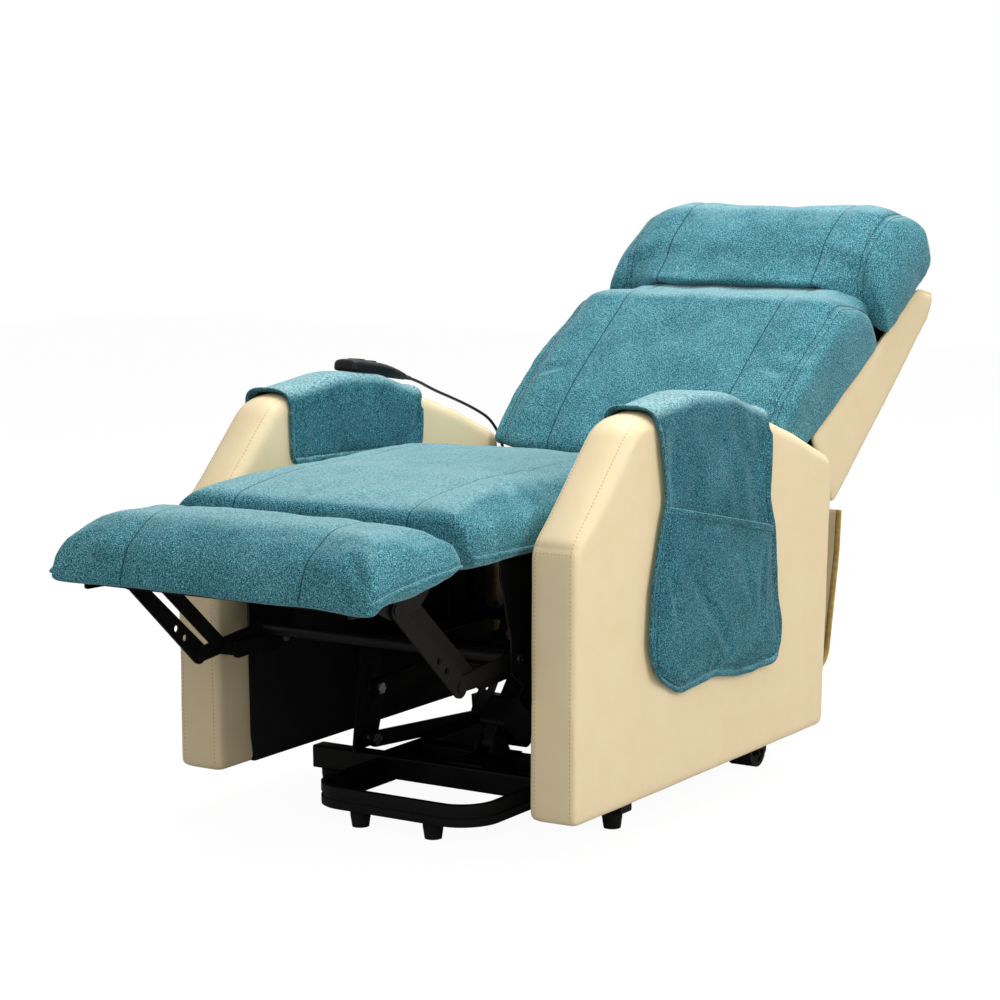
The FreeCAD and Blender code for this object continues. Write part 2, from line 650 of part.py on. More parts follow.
def under_cushion(y, drop):
    """Height on the line under the seat cushion, lowered by a drop."""
    return 441.6 + cushion_slope * (y + 330.0) - drop


board_t = 18.0
side_plate = prism([(-372.0, under_cushion(-372.0, board_t)), (-372.0, 400.0, 10),
                    (-347.0, 310.0, 30), (-347.0, 262.0, 14), (-320.0, 242.0, 20),
                    (-274.0, 240.0, 16), (-256.0, 262.0, 20), (-222.0, 352.0, 30),
                    (330.0, 353.0, 40), (372.0, 404.0, 30), (408.0, 410.0, 14),
                    (408.0, 442.0, 14), (376.0, 442.0, 10), (344.0, 408.0, 20),
                    (306.0, under_cushion(306.0, board_t), 10)], seat_plate_x[0], seat_plate_x[1])
for centre in (drive_pivot, control_pivot, back_hinge):
    side_plate = side_plate.cut(disc(centre, pin_r, 220, 235))
for y in (-190.0, 60.0, 180.0):
    side_plate = side_plate.cut(bar((y, 386.0), (y + 46.0, 386.0), 9.0, 220, 235))
save("seat_side_plates", pair(side_plate))

# Studs that carry the footrest links, and the back's hinge bolts
studs = []
for centre, inner, collar_r in ((drive_pivot, drive_x, 10.0), (control_pivot, control_x, 8.0)):
    stud = disc(centre, pin_r, inner[0] - 2.0, seat_plate_x[1] + 0.8)
    stud = stud.fuse([disc(centre, collar_r, inner[1] + 0.3, seat_plate_x[0]),
                      disc(centre, 7.0, seat_plate_x[1], seat_plate_x[1] + 0.8)])
    if inner == control_x:
        stud = stud.fuse(disc(centre, 8.0, inner[0] - 2.0, inner[0] - 0.3))
    studs.append(stud.removeSplitter())
save("foot_pivot_studs", pair(*studs))
hinge_bolt = disc(back_hinge, pin_r, seat_plate_x[0] - 5.0, back_bracket_x[1] + 4.5)
hinge_bolt = hinge_bolt.fuse([hex_head(back_hinge, 16.0, seat_plate_x[0] - 5.0, seat_plate_x[0]),
                              disc(back_hinge, 8.0, seat_plate_x[1], back_bracket_x[0] - 0.3),
                              hex_head(back_hinge, 15.0, back_bracket_x[1] + 0.3,
                                       back_bracket_x[1] + 4.5)])
save("back_hinge_bolts", pair(hinge_bolt.removeSplitter()))

# Seat cross tubes, slide blocks and board
save("seat_cross_tubes", [tube_x(c, tube_r, -seat_plate_x[0], seat_plate_x[0])
                          for c in seat_tubes])
blocks = []
for y in (-10.0, 235.0):
    runner = block(guide_x[0] + guide_t + 1.0, guide_x[1] - guide_t - 1.0, y - 24.0, y + 24.0,
                   guide_z[0] + guide_t + slide_fit, guide_z[1] - guide_t - slide_fit)
    neck = block(seat_plate_x[1], guide_x[0] + guide_t + 1.1, y - 18.0, y + 18.0,
                 slot_z[0] + 1.0, slot_z[1] - 1.0)
    blocks.append(runner.fuse(neck).removeSplitter())
save("slide_blocks", pair(*blocks))
board = prism([(-385.0, under_cushion(-385.0, board_t)), (-385.0, 440.0, 4), (-330.0, 441.3),
               (305.0, under_cushion(305.0, 0.3)), (305.0, under_cushion(305.0, board_t))],
              -234.0, 234.0)
save("seat_board", board)

# Seat cushion
seat_side = [(-499.0, 438.0, 35), (-486.0, 500.0, 24), (-300.0, 518.0, 300),
             (100.0, 514.0, 300), (311.0, 500.0, 16), (311.0, under_cushion(311.0, 0.0), 6),
             (-330.0, 441.6, 100)]
crown = [(-soft_x, 400.0), (-soft_x, 478.0, 18), (-205.0, 514.0, 90), (0.0, 522.0, 900),
         (205.0, 514.0, 90), (soft_x, 478.0, 18), (soft_x, 400.0)]
seat_cushion = prism(seat_side, -soft_x, soft_x).common(front_prism(crown, -600.0, 400.0))
save("seat_cushion", seat_cushion.removeSplitter())

# Rear skirt: cloth from under the back down and forward to the seat's rear cross tube
skirt_t = 4.0
skirt_line = [(590.0, 368.0), (583.0, 300.0, 120), (545.0, 126.0, 40), (470.0, 92.0, 50),
              (341.0, 90.0, 20), (339.0, seat_tubes[1][1] - tube_r)]


def thick_line(points, thick):
    """Closed outline of an open line given a thickness on its right."""
    count = len(points)
    moved = []
    for i, point in enumerate(points):
        normals = []
        for a, b in ((i - 1, i), (i, i + 1)):
            if a >= 0 and b < count:
                dy = points[b][0] - points[a][0]
                dz = points[b][1] - points[a][1]
                length = math.hypot(dy, dz)
                normals.append((dz / length, -dy / length))
        ny = sum(n[0] for n in normals) / len(normals)
        nz = sum(n[1] for n in normals) / len(normals)
        scale = thick / (ny * ny + nz * nz)
        radius = [max(point[2] - thick, 1.0)] if len(point) > 2 else []
        moved.append((point[0] + ny * scale, point[1] + nz * scale, *radius))
    return points + moved[::-1]


skirt = prism(thick_line(skirt_line, skirt_t), -lumbar_x, lumbar_x)
for x in (seat_plate_x[0] - 1.0, -seat_plate_x[1] - 1.0):
    skirt = skirt.cut(block(x, x + 5.0, 325.0, 355.0, 345.0, 400.0))
save("rear_skirt", skirt)

# Back: places in its own directions, u up the back and w toward the sitter
back_slope = 33.0


def on_back(u, w, *radius):
    """Point (y, z) from the distances along and out of the back."""
    turn = math.radians(back_slope)
    return (back_hinge[0] + u * math.cos(turn) - w * math.sin(turn),
            back_hinge[1] + u * math.sin(turn) + w * math.cos(turn), *radius)


frame_w = (-62.0, -42.0)
frame_u = (70.0, 560.0)
frame_x = (211.0, 231.0)
link_pin = along(back_hinge, link_angle, link_reach)
arm_plate = prism([on_back(16.0, 8.0), on_back(80.0, -36.0, 12), on_back(214.0, -40.0, 6),
                   on_back(222.0, -52.0, 6), on_back(214.0, -64.0, 6), on_back(70.0, -64.0, 20),
                   on_back(-8.0, -17.0, 12)], back_bracket_x[0], back_bracket_x[1])
bracket = arm_plate.fuse([bar(back_hinge, link_pin, 17.0, back_bracket_x[0], back_bracket_x[1],
                              13.0)])
bracket = bracket.cut(disc(back_hinge, pin_r + run_fit, 220, 240))
link_stud = disc(link_pin, pin_r, back_bracket_x[0], back_link_x[1] + 2.2)
link_stud = link_stud.fuse([disc(link_pin, 8.0, back_bracket_x[1], back_link_x[0] - 0.3),
                            disc(link_pin, 9.5, back_link_x[1] + 0.3, back_link_x[1] + 2.2)])
save("back_brackets", pair(bracket.fuse(link_stud).removeSplitter()))

side_tube = block(frame_x[0], frame_x[1], frame_u[0], frame_u[1], frame_w[0], frame_w[1])
side_tube = side_tube.cut(block(frame_x[0] + wall, frame_x[1] - wall, frame_u[0] - 1,
                                frame_u[1] + 1, frame_w[0] + wall, frame_w[1] - wall))


def lay_back(shape):
    """Moves a shape made with Y up the back and Z out of it into place."""
    shape.rotate(V(0, 0, 0), X_AXIS, back_slope)
    shape.translate(V(0, back_hinge[0], back_hinge[1]))
    return shape


save("back_frame_sides", pair(lay_back(side_tube)))
crosses = []
for u in (120.0, 330.0, 530.0):
    cross = block(-frame_x[0], frame_x[0], u, u + 20.0, frame_w[0], frame_w[1])
    cross = cross.cut(block(-300, 300, u + wall, u + 20.0 - wall, frame_w[0] + wall,
                            frame_w[1] - wall))
    crosses.append(lay_back(cross))
save("back_frame_crosses", crosses)

# Back shell: a tray that is open toward the cushions
border_low = (499.0, 497.0)
border_high = (890.0, 707.0)
shell_points = [border_low, (*border_high, 5), (956.0, 696.0, 8), (928.0, 653.0, 30),
                (573.0, 378.0, 10)]
shell_wall = 14.0
shell = prism(shell_points, -soft_x, soft_x)
shell = round_ends(shell, soft_x, 4.0)
pocket = prism([on_back(100.0, 40.0), on_back(560.0, -10.0), on_back(572.0, -88.0, 10),
                on_back(100.0, -126.0)], -soft_x + shell_wall, soft_x - shell_wall)
ribs = [lay_back(block(-230.0, 230.0, u, u + 16.0, -130.0, frame_w[0])) for u in (180.0, 440.0)]
ribs = [r.common(prism(shell_points, -230.0, 230.0)) for r in ribs]
shell = shell.cut(pocket).fuse(ribs).removeSplitter()
save("back_shell", shell)

# Lumbar and head cushions
lumbar_points = [(345.0, 486.0, 18), (402.0, 557.0, 90), (470.0, 612.0, 130), (604.0, 712.0, 60),
                 (672.0, 709.0, 30), (868.0, 737.0, 12), (*border_high, 5), border_low,
                 (440.0, 471.0, 14)]
lumbar = round_ends(prism(lumbar_points, -lumbar_x, lumbar_x), lumbar_x, 4.5)
save("lumbar_cushion", lumbar)
head_points = [(676.0, 709.9, 12), (730.0, 790.0, 60), (822.0, 842.0, 50), (906.0, 856.0, 26),
               (935.0, 782.0, 24), (878.0, 738.7, 12)]
head = round_ends(prism(head_points, -head_x, head_x), head_x, 10.0)
save("head_cushion", head)

# Back links from the chair's frame to the back
link_end = along(link_foot, back_link_angle, back_link_length)
back_link = bar(link_foot, link_end, 11.0, back_link_x[0], back_link_x[1], 13.0)
back_link = back_link.cut(disc(link_foot, pin_r + run_fit, 230, 245))
back_link = back_link.cut(disc(link_end, pin_r + back_drift + 0.4, 230, 245))
save("back_links", pair(back_link))

# Footrest links
cross_pin = along(drive_pivot, drive_angle, cross_reach)
knee = along(drive_pivot, drive_angle, knee_reach)
toe_outer = along(knee, shin_angle, shin_length)
toe_inner = along(cross_pin, shin_angle, shin_length)
control_end = along(cross_pin, shin_angle + 180.0 + control_bend, control_reach)
small_r = 4.0


def rivet(centre, x0, x1, head_side):
    """Rivet with one round head beyond x0 or x1."""
    shank = disc(centre, small_r, x0, x1)
    if head_side == "in":
        return shank.fuse(disc(centre, 7.0, x0 - 1.5, x0 - 0.2).fuse(
            disc(centre, small_r, x0 - 1.5, x0)))
    return shank.fuse(disc(centre, 7.0, x1 + 0.2, x1 + 1.4).fuse(
        disc(centre, small_r, x1, x1 + 1.4)))


drive = bar(drive_pivot, knee, 11.0, drive_x[0], drive_x[1])
drive = drive.cut(disc(drive_pivot, pin_r + run_fit, 200, 230))
drive = drive.fuse([rivet(cross_pin, inner_shin_x[0], drive_x[1], "in"),
                    rivet(knee, drive_x[0], outer_shin_x[1], "out")])
save("foot_links_drive", pair(drive.removeSplitter()))
save("foot_drive_tube", tube_x(drive_pivot, 8.5, -drive_x[0], drive_x[0], 3.0))

control = bar(control_pivot, control_end, 8.0, control_x[0], control_x[1], 12.0)
control = control.cut(disc(control_pivot, pin_r + run_fit, 200, 230))
control = control.cut(disc(control_end, small_r + foot_drift + 0.3, 200, 230))
save("foot_links_control", pair(control))

outer_shin = bar(knee, toe_outer, 15.0, outer_shin_x[0], outer_shin_x[1], 11.0)
for centre in (knee, toe_outer):
    outer_shin = outer_shin.cut(disc(centre, small_r + run_fit, 200, 240))
for reach in (42.0, 66.0):
    outer_shin = outer_shin.cut(disc(along(knee, shin_angle, reach), 5.0, 200, 240))
save("foot_links_outer", pair(outer_shin))

inner_shin = bar(cross_pin, toe_inner, 11.0, inner_shin_x[0], inner_shin_x[1])
inner_shin = inner_shin.fuse(bar(cross_pin, control_end, 11.0, inner_shin_x[0],
                                 inner_shin_x[1], 9.0))
for centre in (cross_pin, toe_inner):
    inner_shin = inner_shin.cut(disc(centre, small_r + run_fit, 200, 240))
end_pin = disc(control_end, small_r, control_x[0] - 1.5, inner_shin_x[1])
end_pin = end_pin.fuse(disc(control_end, 9.0, control_x[0] - 1.5, control_x[0] - 0.3))
save("foot_links_inner", pair(inner_shin.fuse(end_pin).removeSplitter()))

# Footrest pad frame with its rivets: frame and pad keep their place to the outer toe pin
toe_to_pad = (606.5053, -393.2301)
pad_origin = V(0, toe_outer[0] + toe_to_pad[0], toe_outer[1] + toe_to_pad[1])
ottoman_side = prism([(-702.0, 396.0, 4), (-702.0, 406.5, 3), (-606.0, 410.4, 40),
                      (-520.0, 424.8, 3), (-520.0, 412.0, 6), (-552.0, 386.0, 12),
                      (-612.0, 380.0, 12), (-640.0, 394.0, 30)], drive_x[0], drive_x[1])
ottoman_side.translate(pad_origin)
ottoman_side = ottoman_side.fuse([rivet(toe_outer, drive_x[0], outer_shin_x[1], "out"),
                                  rivet(toe_inner, inner_shin_x[0], drive_x[1], "in")])
strips = []
for y0, y1 in ((-700.0, -672.0), (-548.0, -524.0)):
    strip = prism([(y0, 380.0), (y1, 380.0), (y1, 460.0), (y0, 460.0)], -drive_x[1], drive_x[1])
    under = prism([(-702.0, 402.8), (-702.0, 406.5), (-606.0, 410.4), (-520.0, 424.8),
                   (-520.0, 421.0), (-606.0, 406.6)], -drive_x[1], drive_x[1])
    strip = strip.common(under)
    strip.translate(pad_origin)
    strips.append(strip)
ottoman_frame = ottoman_side.fuse([mirrored(ottoman_side)] + strips).removeSplitter()
save("ottoman_frame", ottoman_frame)

# Footrest pad
ottoman_points = [(-731.0, 415.0, 5), (-708.0, 452.0, 60), (-640.0, 493.0, 80),
                  (-585.0, 501.0, 90), (-506.0, 474.0, 46), (-507.0, 427.0, 8),
                  (-606.0, 410.6, 60), (-718.0, 406.0, 5)]
pad_crown = [(-pad_x, 380.0), (-pad_x, 440.0, 14), (-232.0, 488.0, 50), (0.0, 505.0, 900),
             (232.0, 488.0, 50), (pad_x, 440.0, 14), (pad_x, 380.0)]
ottoman = prism(ottoman_points, -pad_x, pad_x).common(front_prism(pad_crown, -800.0, -400.0))
ottoman.translate(pad_origin)
save("ottoman_cushion", ottoman.removeSplitter())
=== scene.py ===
# %% [markdown]
# # A lift recliner chair
# The chair is an upholstered armchair on a lifting steel base. A sitter sees teal
# chenille cushions, cream faux leather arms and back, cloth covers over the arms,
# a handset on its cord, and below them black powder-coated linkages.
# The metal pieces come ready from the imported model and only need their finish.
# Everything soft is made here: cushions, covers, leather and cord.

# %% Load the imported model
import json
import math

import bmesh
import bpy
import numpy as np
from mathutils import Matrix, Vector
from mathutils.bvhtree import BVHTree
from mathutils.kdtree import KDTree


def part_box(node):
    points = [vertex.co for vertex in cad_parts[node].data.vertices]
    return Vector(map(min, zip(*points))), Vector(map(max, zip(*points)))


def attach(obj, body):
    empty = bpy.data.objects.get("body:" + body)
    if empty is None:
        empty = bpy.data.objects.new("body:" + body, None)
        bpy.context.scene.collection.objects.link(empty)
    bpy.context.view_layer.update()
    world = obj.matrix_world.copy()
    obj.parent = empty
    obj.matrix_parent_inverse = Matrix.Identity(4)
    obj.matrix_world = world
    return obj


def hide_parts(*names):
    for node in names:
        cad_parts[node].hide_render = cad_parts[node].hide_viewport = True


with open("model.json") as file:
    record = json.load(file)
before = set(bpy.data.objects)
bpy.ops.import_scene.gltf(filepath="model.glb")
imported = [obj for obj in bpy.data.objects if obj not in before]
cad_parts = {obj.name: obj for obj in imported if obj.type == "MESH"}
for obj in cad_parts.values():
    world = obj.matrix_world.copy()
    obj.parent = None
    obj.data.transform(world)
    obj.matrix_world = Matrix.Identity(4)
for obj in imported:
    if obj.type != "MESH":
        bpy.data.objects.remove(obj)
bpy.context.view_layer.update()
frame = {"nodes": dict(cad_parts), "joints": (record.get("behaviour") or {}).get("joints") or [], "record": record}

# %% [markdown]
# ## Where things are
# The chair was drawn in millimetres about its middle plane, with its back hinge at
# y = 390 and z = 425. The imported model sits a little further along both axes. The
# seat cushion's middle and the back hinge tell how far, so every size below can be
# written in the chair's own millimetres and turned into the frame's metres at once.

# %% Turn the chair's millimetres into the frame's metres
MM = 0.001
joints = {j["name"]: j for j in frame["joints"]}
seat_low, seat_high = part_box("seat_cushion")
middle_x = (seat_low.x + seat_high.x) / 2
hinge_place = joints["back_recline"]["pos_m"]
origin = np.array([middle_x, hinge_place[1] - 390 * MM, hinge_place[2] - 425 * MM])


def metres(points):
    """Chair millimetres to frame metres: scale, then add the chair's origin."""
    return np.asarray(points, float) * MM + origin


def millimetres(points):
    """Frame metres back to chair millimetres, for pieces measured on the CAD."""
    return (np.asarray(points, float) - origin) / MM


def node_points(name):
    """A CAD node's vertices as one array, in chair millimetres."""
    mesh = frame["nodes"][name].data
    flat = np.empty(len(mesh.vertices) * 3)
    mesh.vertices.foreach_get("co", flat)
    return millimetres(flat.reshape(-1, 3))


print("chair origin in the frame", origin.round(4))

# %% [markdown]
# ## Camera
# The photograph was taken from the front left at a low angle with a long lens.
# A camera is three turns about its target: around the chair, up from the floor,
# and a slight roll. The lens follows from the sensor: 36 mm across 1000 pixels.

# %% Camera
camera_turn = math.radians(33.63)
camera_height = math.radians(8.34)
camera_roll = math.radians(-0.71)
camera_distance = 3839.1
camera_target = (134.6, -229.2, 480.9)
focal_pixels = 2731.6
sensor_mm = 36.0
image_pixels = 1000


def aim_camera(camera):
    """Places the camera on the sphere round its target and turns it to face that."""
    out = Vector((math.sin(camera_turn) * math.cos(camera_height),
                  -math.cos(camera_turn) * math.cos(camera_height),
                  math.sin(camera_height)))
    place = Vector(metres(camera_target)) + out * camera_distance * MM
    right = (-out).cross(Vector((0, 0, 1))).normalized()
    up = right.cross(-out)
    turned_right = right * math.cos(camera_roll) + up * math.sin(camera_roll)
    turned_up = up * math.cos(camera_roll) - right * math.sin(camera_roll)
    axes = Matrix((turned_right, turned_up, out)).transposed().to_4x4()
    camera.matrix_world = Matrix.Translation(place) @ axes


def new_object(name, data):
    """An object in the scene for a mesh, a curve, a camera or a lamp."""
    made = bpy.data.objects.new(name, data)
    bpy.context.scene.collection.objects.link(made)
    return made


camera_data = bpy.data.cameras.new("photo_camera")
camera_data.sensor_width = sensor_mm
camera_data.lens = sensor_mm * focal_pixels / image_pixels
camera_data.clip_end = 30
camera = new_object("photo_camera", camera_data)
aim_camera(camera)
bpy.context.scene.camera = camera
print("lens", round(camera_data.lens, 1), "mm")

# %% [markdown]
# ## Colour and shader helpers
# Colours are written as the hex values a painter would read off a screen. Blender
# mixes light in linear values, so one function converts them. One more function
# adds a shader node, sets its values and joins its links. The short functions after
# it name what the materials do most: noise, arithmetic, mapping a span of values,
# mixing two colours, and turning a height into relief.

# %% Helpers for colours and shader nodes


def linear(code):
    """Hex colour to linear light: the sRGB curve undone for each channel."""
    channels = [int(code[i:i + 2], 16) / 255 for i in (1, 3, 5)]
    return tuple(c / 12.92 if c <= 0.04045 else ((c + 0.055) / 1.055) ** 2.4
                 for c in channels) + (1.0,)


def feed(tree, node, inputs):
    """Gives a node's inputs their values, or links them to the outputs of others."""
    for key, value in inputs.items():
        if isinstance(value, bpy.types.NodeSocket):
            tree.links.new(value, node.inputs[key])
        else:
            node.inputs[key].default_value = value


def add(tree, kind, inputs=None, **settings):
    """Adds one shader node with its settings, socket values and links."""
    made = tree.nodes.new("ShaderNode" + kind)
    for key, value in settings.items():
        setattr(made, key, value)
    feed(tree, made, inputs or {})
    return made


def noise(tree, place, grain_mm, **inputs):
    """Noise with spots about grain_mm wide, from 0 to 1."""
    made = add(tree, "TexNoise", {"Vector": place, "Scale": 1 / (grain_mm * MM), **inputs})
    return made.outputs["Fac"]


def maths(tree, operation, *values):
    """One sum: the operation on the values, which are numbers or outputs."""
    return add(tree, "Math", dict(enumerate(values)), operation=operation).outputs[0]


def axis_of(tree, vector, axis):
    """The x, y or z (0, 1 or 2) of a vector."""
    return add(tree, "SeparateXYZ", {"Vector": vector}).outputs[axis]


def span(tree, value, low, high, to_low, to_high, **settings):
    """Maps the values from low to high onto those from to_low to to_high."""
    return add(tree, "MapRange", {"Value": value, "From Min": low, "From Max": high,
                                  "To Min": to_low, "To Max": to_high}, **settings).outputs[0]


def blend(tree, factor, first, second):
    """Mixes two colours: the first where factor is 0, the second where it is 1."""
    return add(tree, "Mix", {"Factor": factor, 6: first, 7: second}, data_type="RGBA").outputs[2]


def relief(tree, height, rise_mm, strength, **inputs):
    """Normals that make a flat face look as if it rose by height times rise_mm."""
    made = add(tree, "Bump", {"Height": height, "Distance": rise_mm * MM, "Strength": strength,
                              **inputs})
    return made.outputs["Normal"]


def start_material(name):
    """An empty material with a shader, an output and the object's own coordinates."""
    made = bpy.data.materials.new(name)
    made.use_nodes = True
    tree = made.node_tree
    tree.nodes.clear()
    shader = add(tree, "BsdfPrincipled")
    add(tree, "OutputMaterial", {"Surface": shader.outputs[0]})
    place = add(tree, "TexCoord").outputs["Object"]
    return made, tree, shader, place


def ramp(tree, factor, stops):
    """Colour ramp: each stop is a place from 0 to 1 and a hex colour."""
    made = add(tree, "ValToRGB", {"Fac": factor})
    elements = made.color_ramp.elements
    while len(elements) < len(stops):
        elements.new(0.5)
    for element, (where, code) in zip(elements, stops):
        element.position = where
        element.color = linear(code)
    return made.outputs["Color"]


print("sRGB #808080 in linear light:", round(linear("#808080")[0], 3))

# %% [markdown]
# ## Mesh helpers
# A surface is an array of places: rows, columns and three coordinates. NumPy works on
# all of them at once, so a shape is a formula and needs no loop over its points. Lines
# in the side view are arrays of (y, z), and get their x when they become places.

# %% Helpers for meshes and lines
sides = ((1, "left"), (-1, "right"))


def at_x(x, yz):
    """Places from a line or a grid of (y, z) and their x: one value or one for each."""
    return np.concatenate([np.broadcast_to(x, yz.shape[:-1])[..., None], yz], axis=-1)


def unit(vectors):
    """The same directions, each with a length of 1."""
    return vectors / np.linalg.norm(vectors, axis=-1, keepdims=True)


def lengths_along(path):
    """How far each point is from the start, measured along the path."""
    return np.concatenate([[0], np.cumsum(np.linalg.norm(np.diff(path, axis=0), axis=1))])


def walk(path, places, along=None):
    """The points of a path at the given distances from its start. Along says how far
    each of its points is, if that isn't measured on the path itself."""
    along = lengths_along(path) if along is None else along
    return np.stack([np.interp(places, along, values) for values in path.T], axis=-1)


def grid_object(name, points, wrap=False, close_ends=False):
    """A surface from a grid of places: rows x columns x 3, in chair millimetres.

    Faces join each cell's four corners. With wrap, the last column joins the first.
    With close_ends, the first and last rows are filled with a fan to their middle.
    """
    rows, columns = points.shape[:2]
    index = np.arange(rows * columns).reshape(rows, columns)
    right = np.roll(index, -1, axis=1)
    last = columns if wrap else columns - 1
    faces = np.stack([index[:-1, :last], right[:-1, :last], right[1:, :last],
                      index[1:, :last]], axis=-1).reshape(-1, 4).tolist()
    places = points.reshape(-1, 3)
    if close_ends:
        ends = np.array([points[0].mean(0), points[-1].mean(0)])
        places = np.vstack([places, ends])
        first, final = rows * columns, rows * columns + 1
        faces += np.stack([right[0], index[0], np.full(columns, first)], axis=-1).tolist()
        faces += np.stack([index[-1], right[-1], np.full(columns, final)], axis=-1).tolist()
    return mesh_object(name, places, faces)


def mesh_object(name, places, faces):
    """Makes a smooth shaded object from places in chair millimetres and faces."""
    mesh = bpy.data.meshes.new(name)
    mesh.from_pydata(metres(places).tolist(), [], faces)
    mesh.polygons.foreach_set("use_smooth", np.ones(len(mesh.polygons), bool))
    mesh.update()
    return new_object(name, mesh)


def face_outwards(piece):
    """Merges doubled points and turns all faces to point out of the shape."""
    work = bmesh.new()
    work.from_mesh(piece.data)
    bmesh.ops.remove_doubles(work, verts=work.verts, dist=1e-5)
    bmesh.ops.recalc_face_normals(work, faces=work.faces)
    work.to_mesh(piece.data)
    work.free()


def dress(piece, material, body):
    """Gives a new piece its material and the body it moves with."""
    piece.data.materials.clear()
    piece.data.materials.append(material)
    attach(piece, body)


def tube_along(name, path, radius, sides=8):
    """Tube round an open path: a ring of points square to the path at each place."""
    path = np.asarray(path, float)
    ahead = unit(np.gradient(path, axis=0))
    helper = np.where(np.abs(ahead[:, :1]) < 0.9, [[1.0, 0, 0]], [[0, 1.0, 0]])
    across = unit(np.cross(ahead, helper))
    other = np.cross(ahead, across)
    turn = np.linspace(0, 2 * np.pi, sides, endpoint=False)
    size = np.broadcast_to(np.asarray(radius, float), (len(path),))[:, None, None]
    ring = (np.cos(turn)[None, :, None] * across[:, None] +
            np.sin(turn)[None, :, None] * other[:, None])
    made = grid_object(name, path[:, None] + ring * size, wrap=True, close_ends=True)
    face_outwards(made)
    return made


# %% [markdown]
# ## Handset cord
# The cord is a soft black PVC cord about 5 mm thick. It leaves the handset's tail,
# spans down over the arm's top and turns down behind the arm, where it goes into
# the arm's rear. Its points are control points of a smooth NURBS spline, which cuts
# the corners as a real cord does. They are the same points as in the CAD source.

# %% PVC for the cord
# Extruded soft PVC is a dull black with a faint sheen along its length.
cord_pvc, tree, shader, place = start_material("soft_pvc_black")
wear = noise(tree, place, 1.5, Detail=3.0)
feed(tree, shader, {"Base Color": linear("#17171A"), "Roughness": 0.42, "IOR": 1.53,
                    "Normal": relief(tree, wear, 0.05, 0.5)})
print("cord material", cord_pvc.name)

# %% The cord itself
cord_diameter = 5.0
cord_route = [(-305.8, 157.3, 600.5), (-305.8, 192.0, 591.5), (-305.6, 240.0, 571.0),
              (-305.3, 300.0, 550.5), (-305.0, 358.0, 528.5), (-304.6, 408.0, 505.0),
              (-304.2, 441.0, 463.0), (-303.8, 449.0, 408.0), (-303.4, 444.0, 350.0),
              (-303.0, 431.0, 295.0), (-302.6, 414.0, 243.0), (-302.2, 396.0, 195.0),
              (-301.8, 381.0, 158.0), (-301.5, 363.6, 141.0)]
cord_curve = bpy.data.curves.new("handset_cord_line", "CURVE")
cord_curve.dimensions = "3D"
cord_curve.bevel_depth = cord_diameter / 2 * MM
cord_curve.bevel_resolution = 4
cord_curve.use_fill_caps = True
spline = cord_curve.splines.new("NURBS")
spline.points.add(len(cord_route) - 1)
for point, where in zip(spline.points, metres(cord_route)):
    point.co = (*where, 1.0)
spline.order_u = 3
spline.use_endpoint_u = True
spline.resolution_u = 16
cord = new_object("handset_cord_line", cord_curve)
dress(cord, cord_pvc, "chassis")
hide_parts("handset_cord")
print("cord", len(cord_route), "points")

# %% Strain relief at the handset and ferrule in the arm
cord_places = np.array(cord_route)
start_ahead = unit(cord_places[1] - cord_places[0])
end_ahead = unit(cord_places[-1] - cord_places[-2])


def cord_sleeve(name, end, ahead, back, length, radius, sides):
    """A sleeve round one end of the cord: it starts back from the end, and its radius
    is given at even steps along its length."""
    steps = np.linspace(0, 1, len(radius))[:, None]
    sleeve = tube_along(name, end - ahead * back + ahead * length * steps, radius, sides)
    dress(sleeve, cord_pvc, "chassis")
    return sleeve


# Seven ribs along a cone, and a plug with a wider collar.
ribs = np.linspace(0, 1, 41)
strain_relief = cord_sleeve("cord_strain_relief", cord_places[0], start_ahead, 1.5, 20.0,
                            4.6 - 1.7 * ribs + 0.35 * np.cos(ribs * 14 * np.pi), 20)
ferrule = cord_sleeve("cord_ferrule", cord_places[-1], end_ahead, 5.0, 6.0,
                      np.array([3.2, 5.4, 5.8, 5.8, 5.4, 7.4, 7.8, 7.8, 7.4]), 24)
print("cord ends", strain_relief.name, "and", ferrule.name)

# %% [markdown]
# ## Working with soft pieces
# Upholstery is cloth pulled over foam. Its shape starts from the CAD solid, which
# has the right place and size. The solid's copy is remeshed into even quads, so
# that it can swell, sag and crease anywhere. The helpers here read and write all
# the points of a piece as one array, so each change is a formula over that array.

# %% Read and write the points of a piece


def read_points(piece):
    """All vertices of a piece in chair millimetres."""
    flat = np.empty(len(piece.data.vertices) * 3)
    piece.data.vertices.foreach_get("co", flat)
    return millimetres(flat.reshape(-1, 3))


def write_points(piece, points):
    """Puts changed places, in chair millimetres, back into the mesh."""
    piece.data.vertices.foreach_set("co", metres(points).astype(np.float32).ravel())
    piece.data.update()


def read_normals(piece):
    """The outward direction at each vertex."""
    flat = np.empty(len(piece.data.vertices) * 3)
    piece.data.vertex_normals.foreach_get("vector", flat)
    return flat.reshape(-1, 3)


def apply_modifiers(piece):
    """Keeps what the piece's modifiers make of it as its own mesh."""
    graph = bpy.context.evaluated_depsgraph_get()
    final = bpy.data.meshes.new_from_object(piece.evaluated_get(graph))
    piece.modifiers.clear()
    piece.data = final


def remesh(piece, cell_mm):
    """Rebuilds a closed piece from even quads of the given size."""
    quads = piece.modifiers.new("even_quads", "REMESH")
    quads.mode = "VOXEL"
    quads.voxel_size = cell_mm * MM
    apply_modifiers(piece)


def even_copy(node, name, cell_mm):
    """A CAD node's shape as even quads of the given size, ready to be softened."""
    mesh = frame["nodes"][node].data.copy()
    mesh.materials.clear()
    made = new_object(name, mesh)
    face_outwards(made)
    remesh(made, cell_mm)
    made.data.polygons.foreach_set("use_smooth", np.ones(len(made.data.polygons), bool))
    print(name, len(made.data.vertices), "points")
    return made


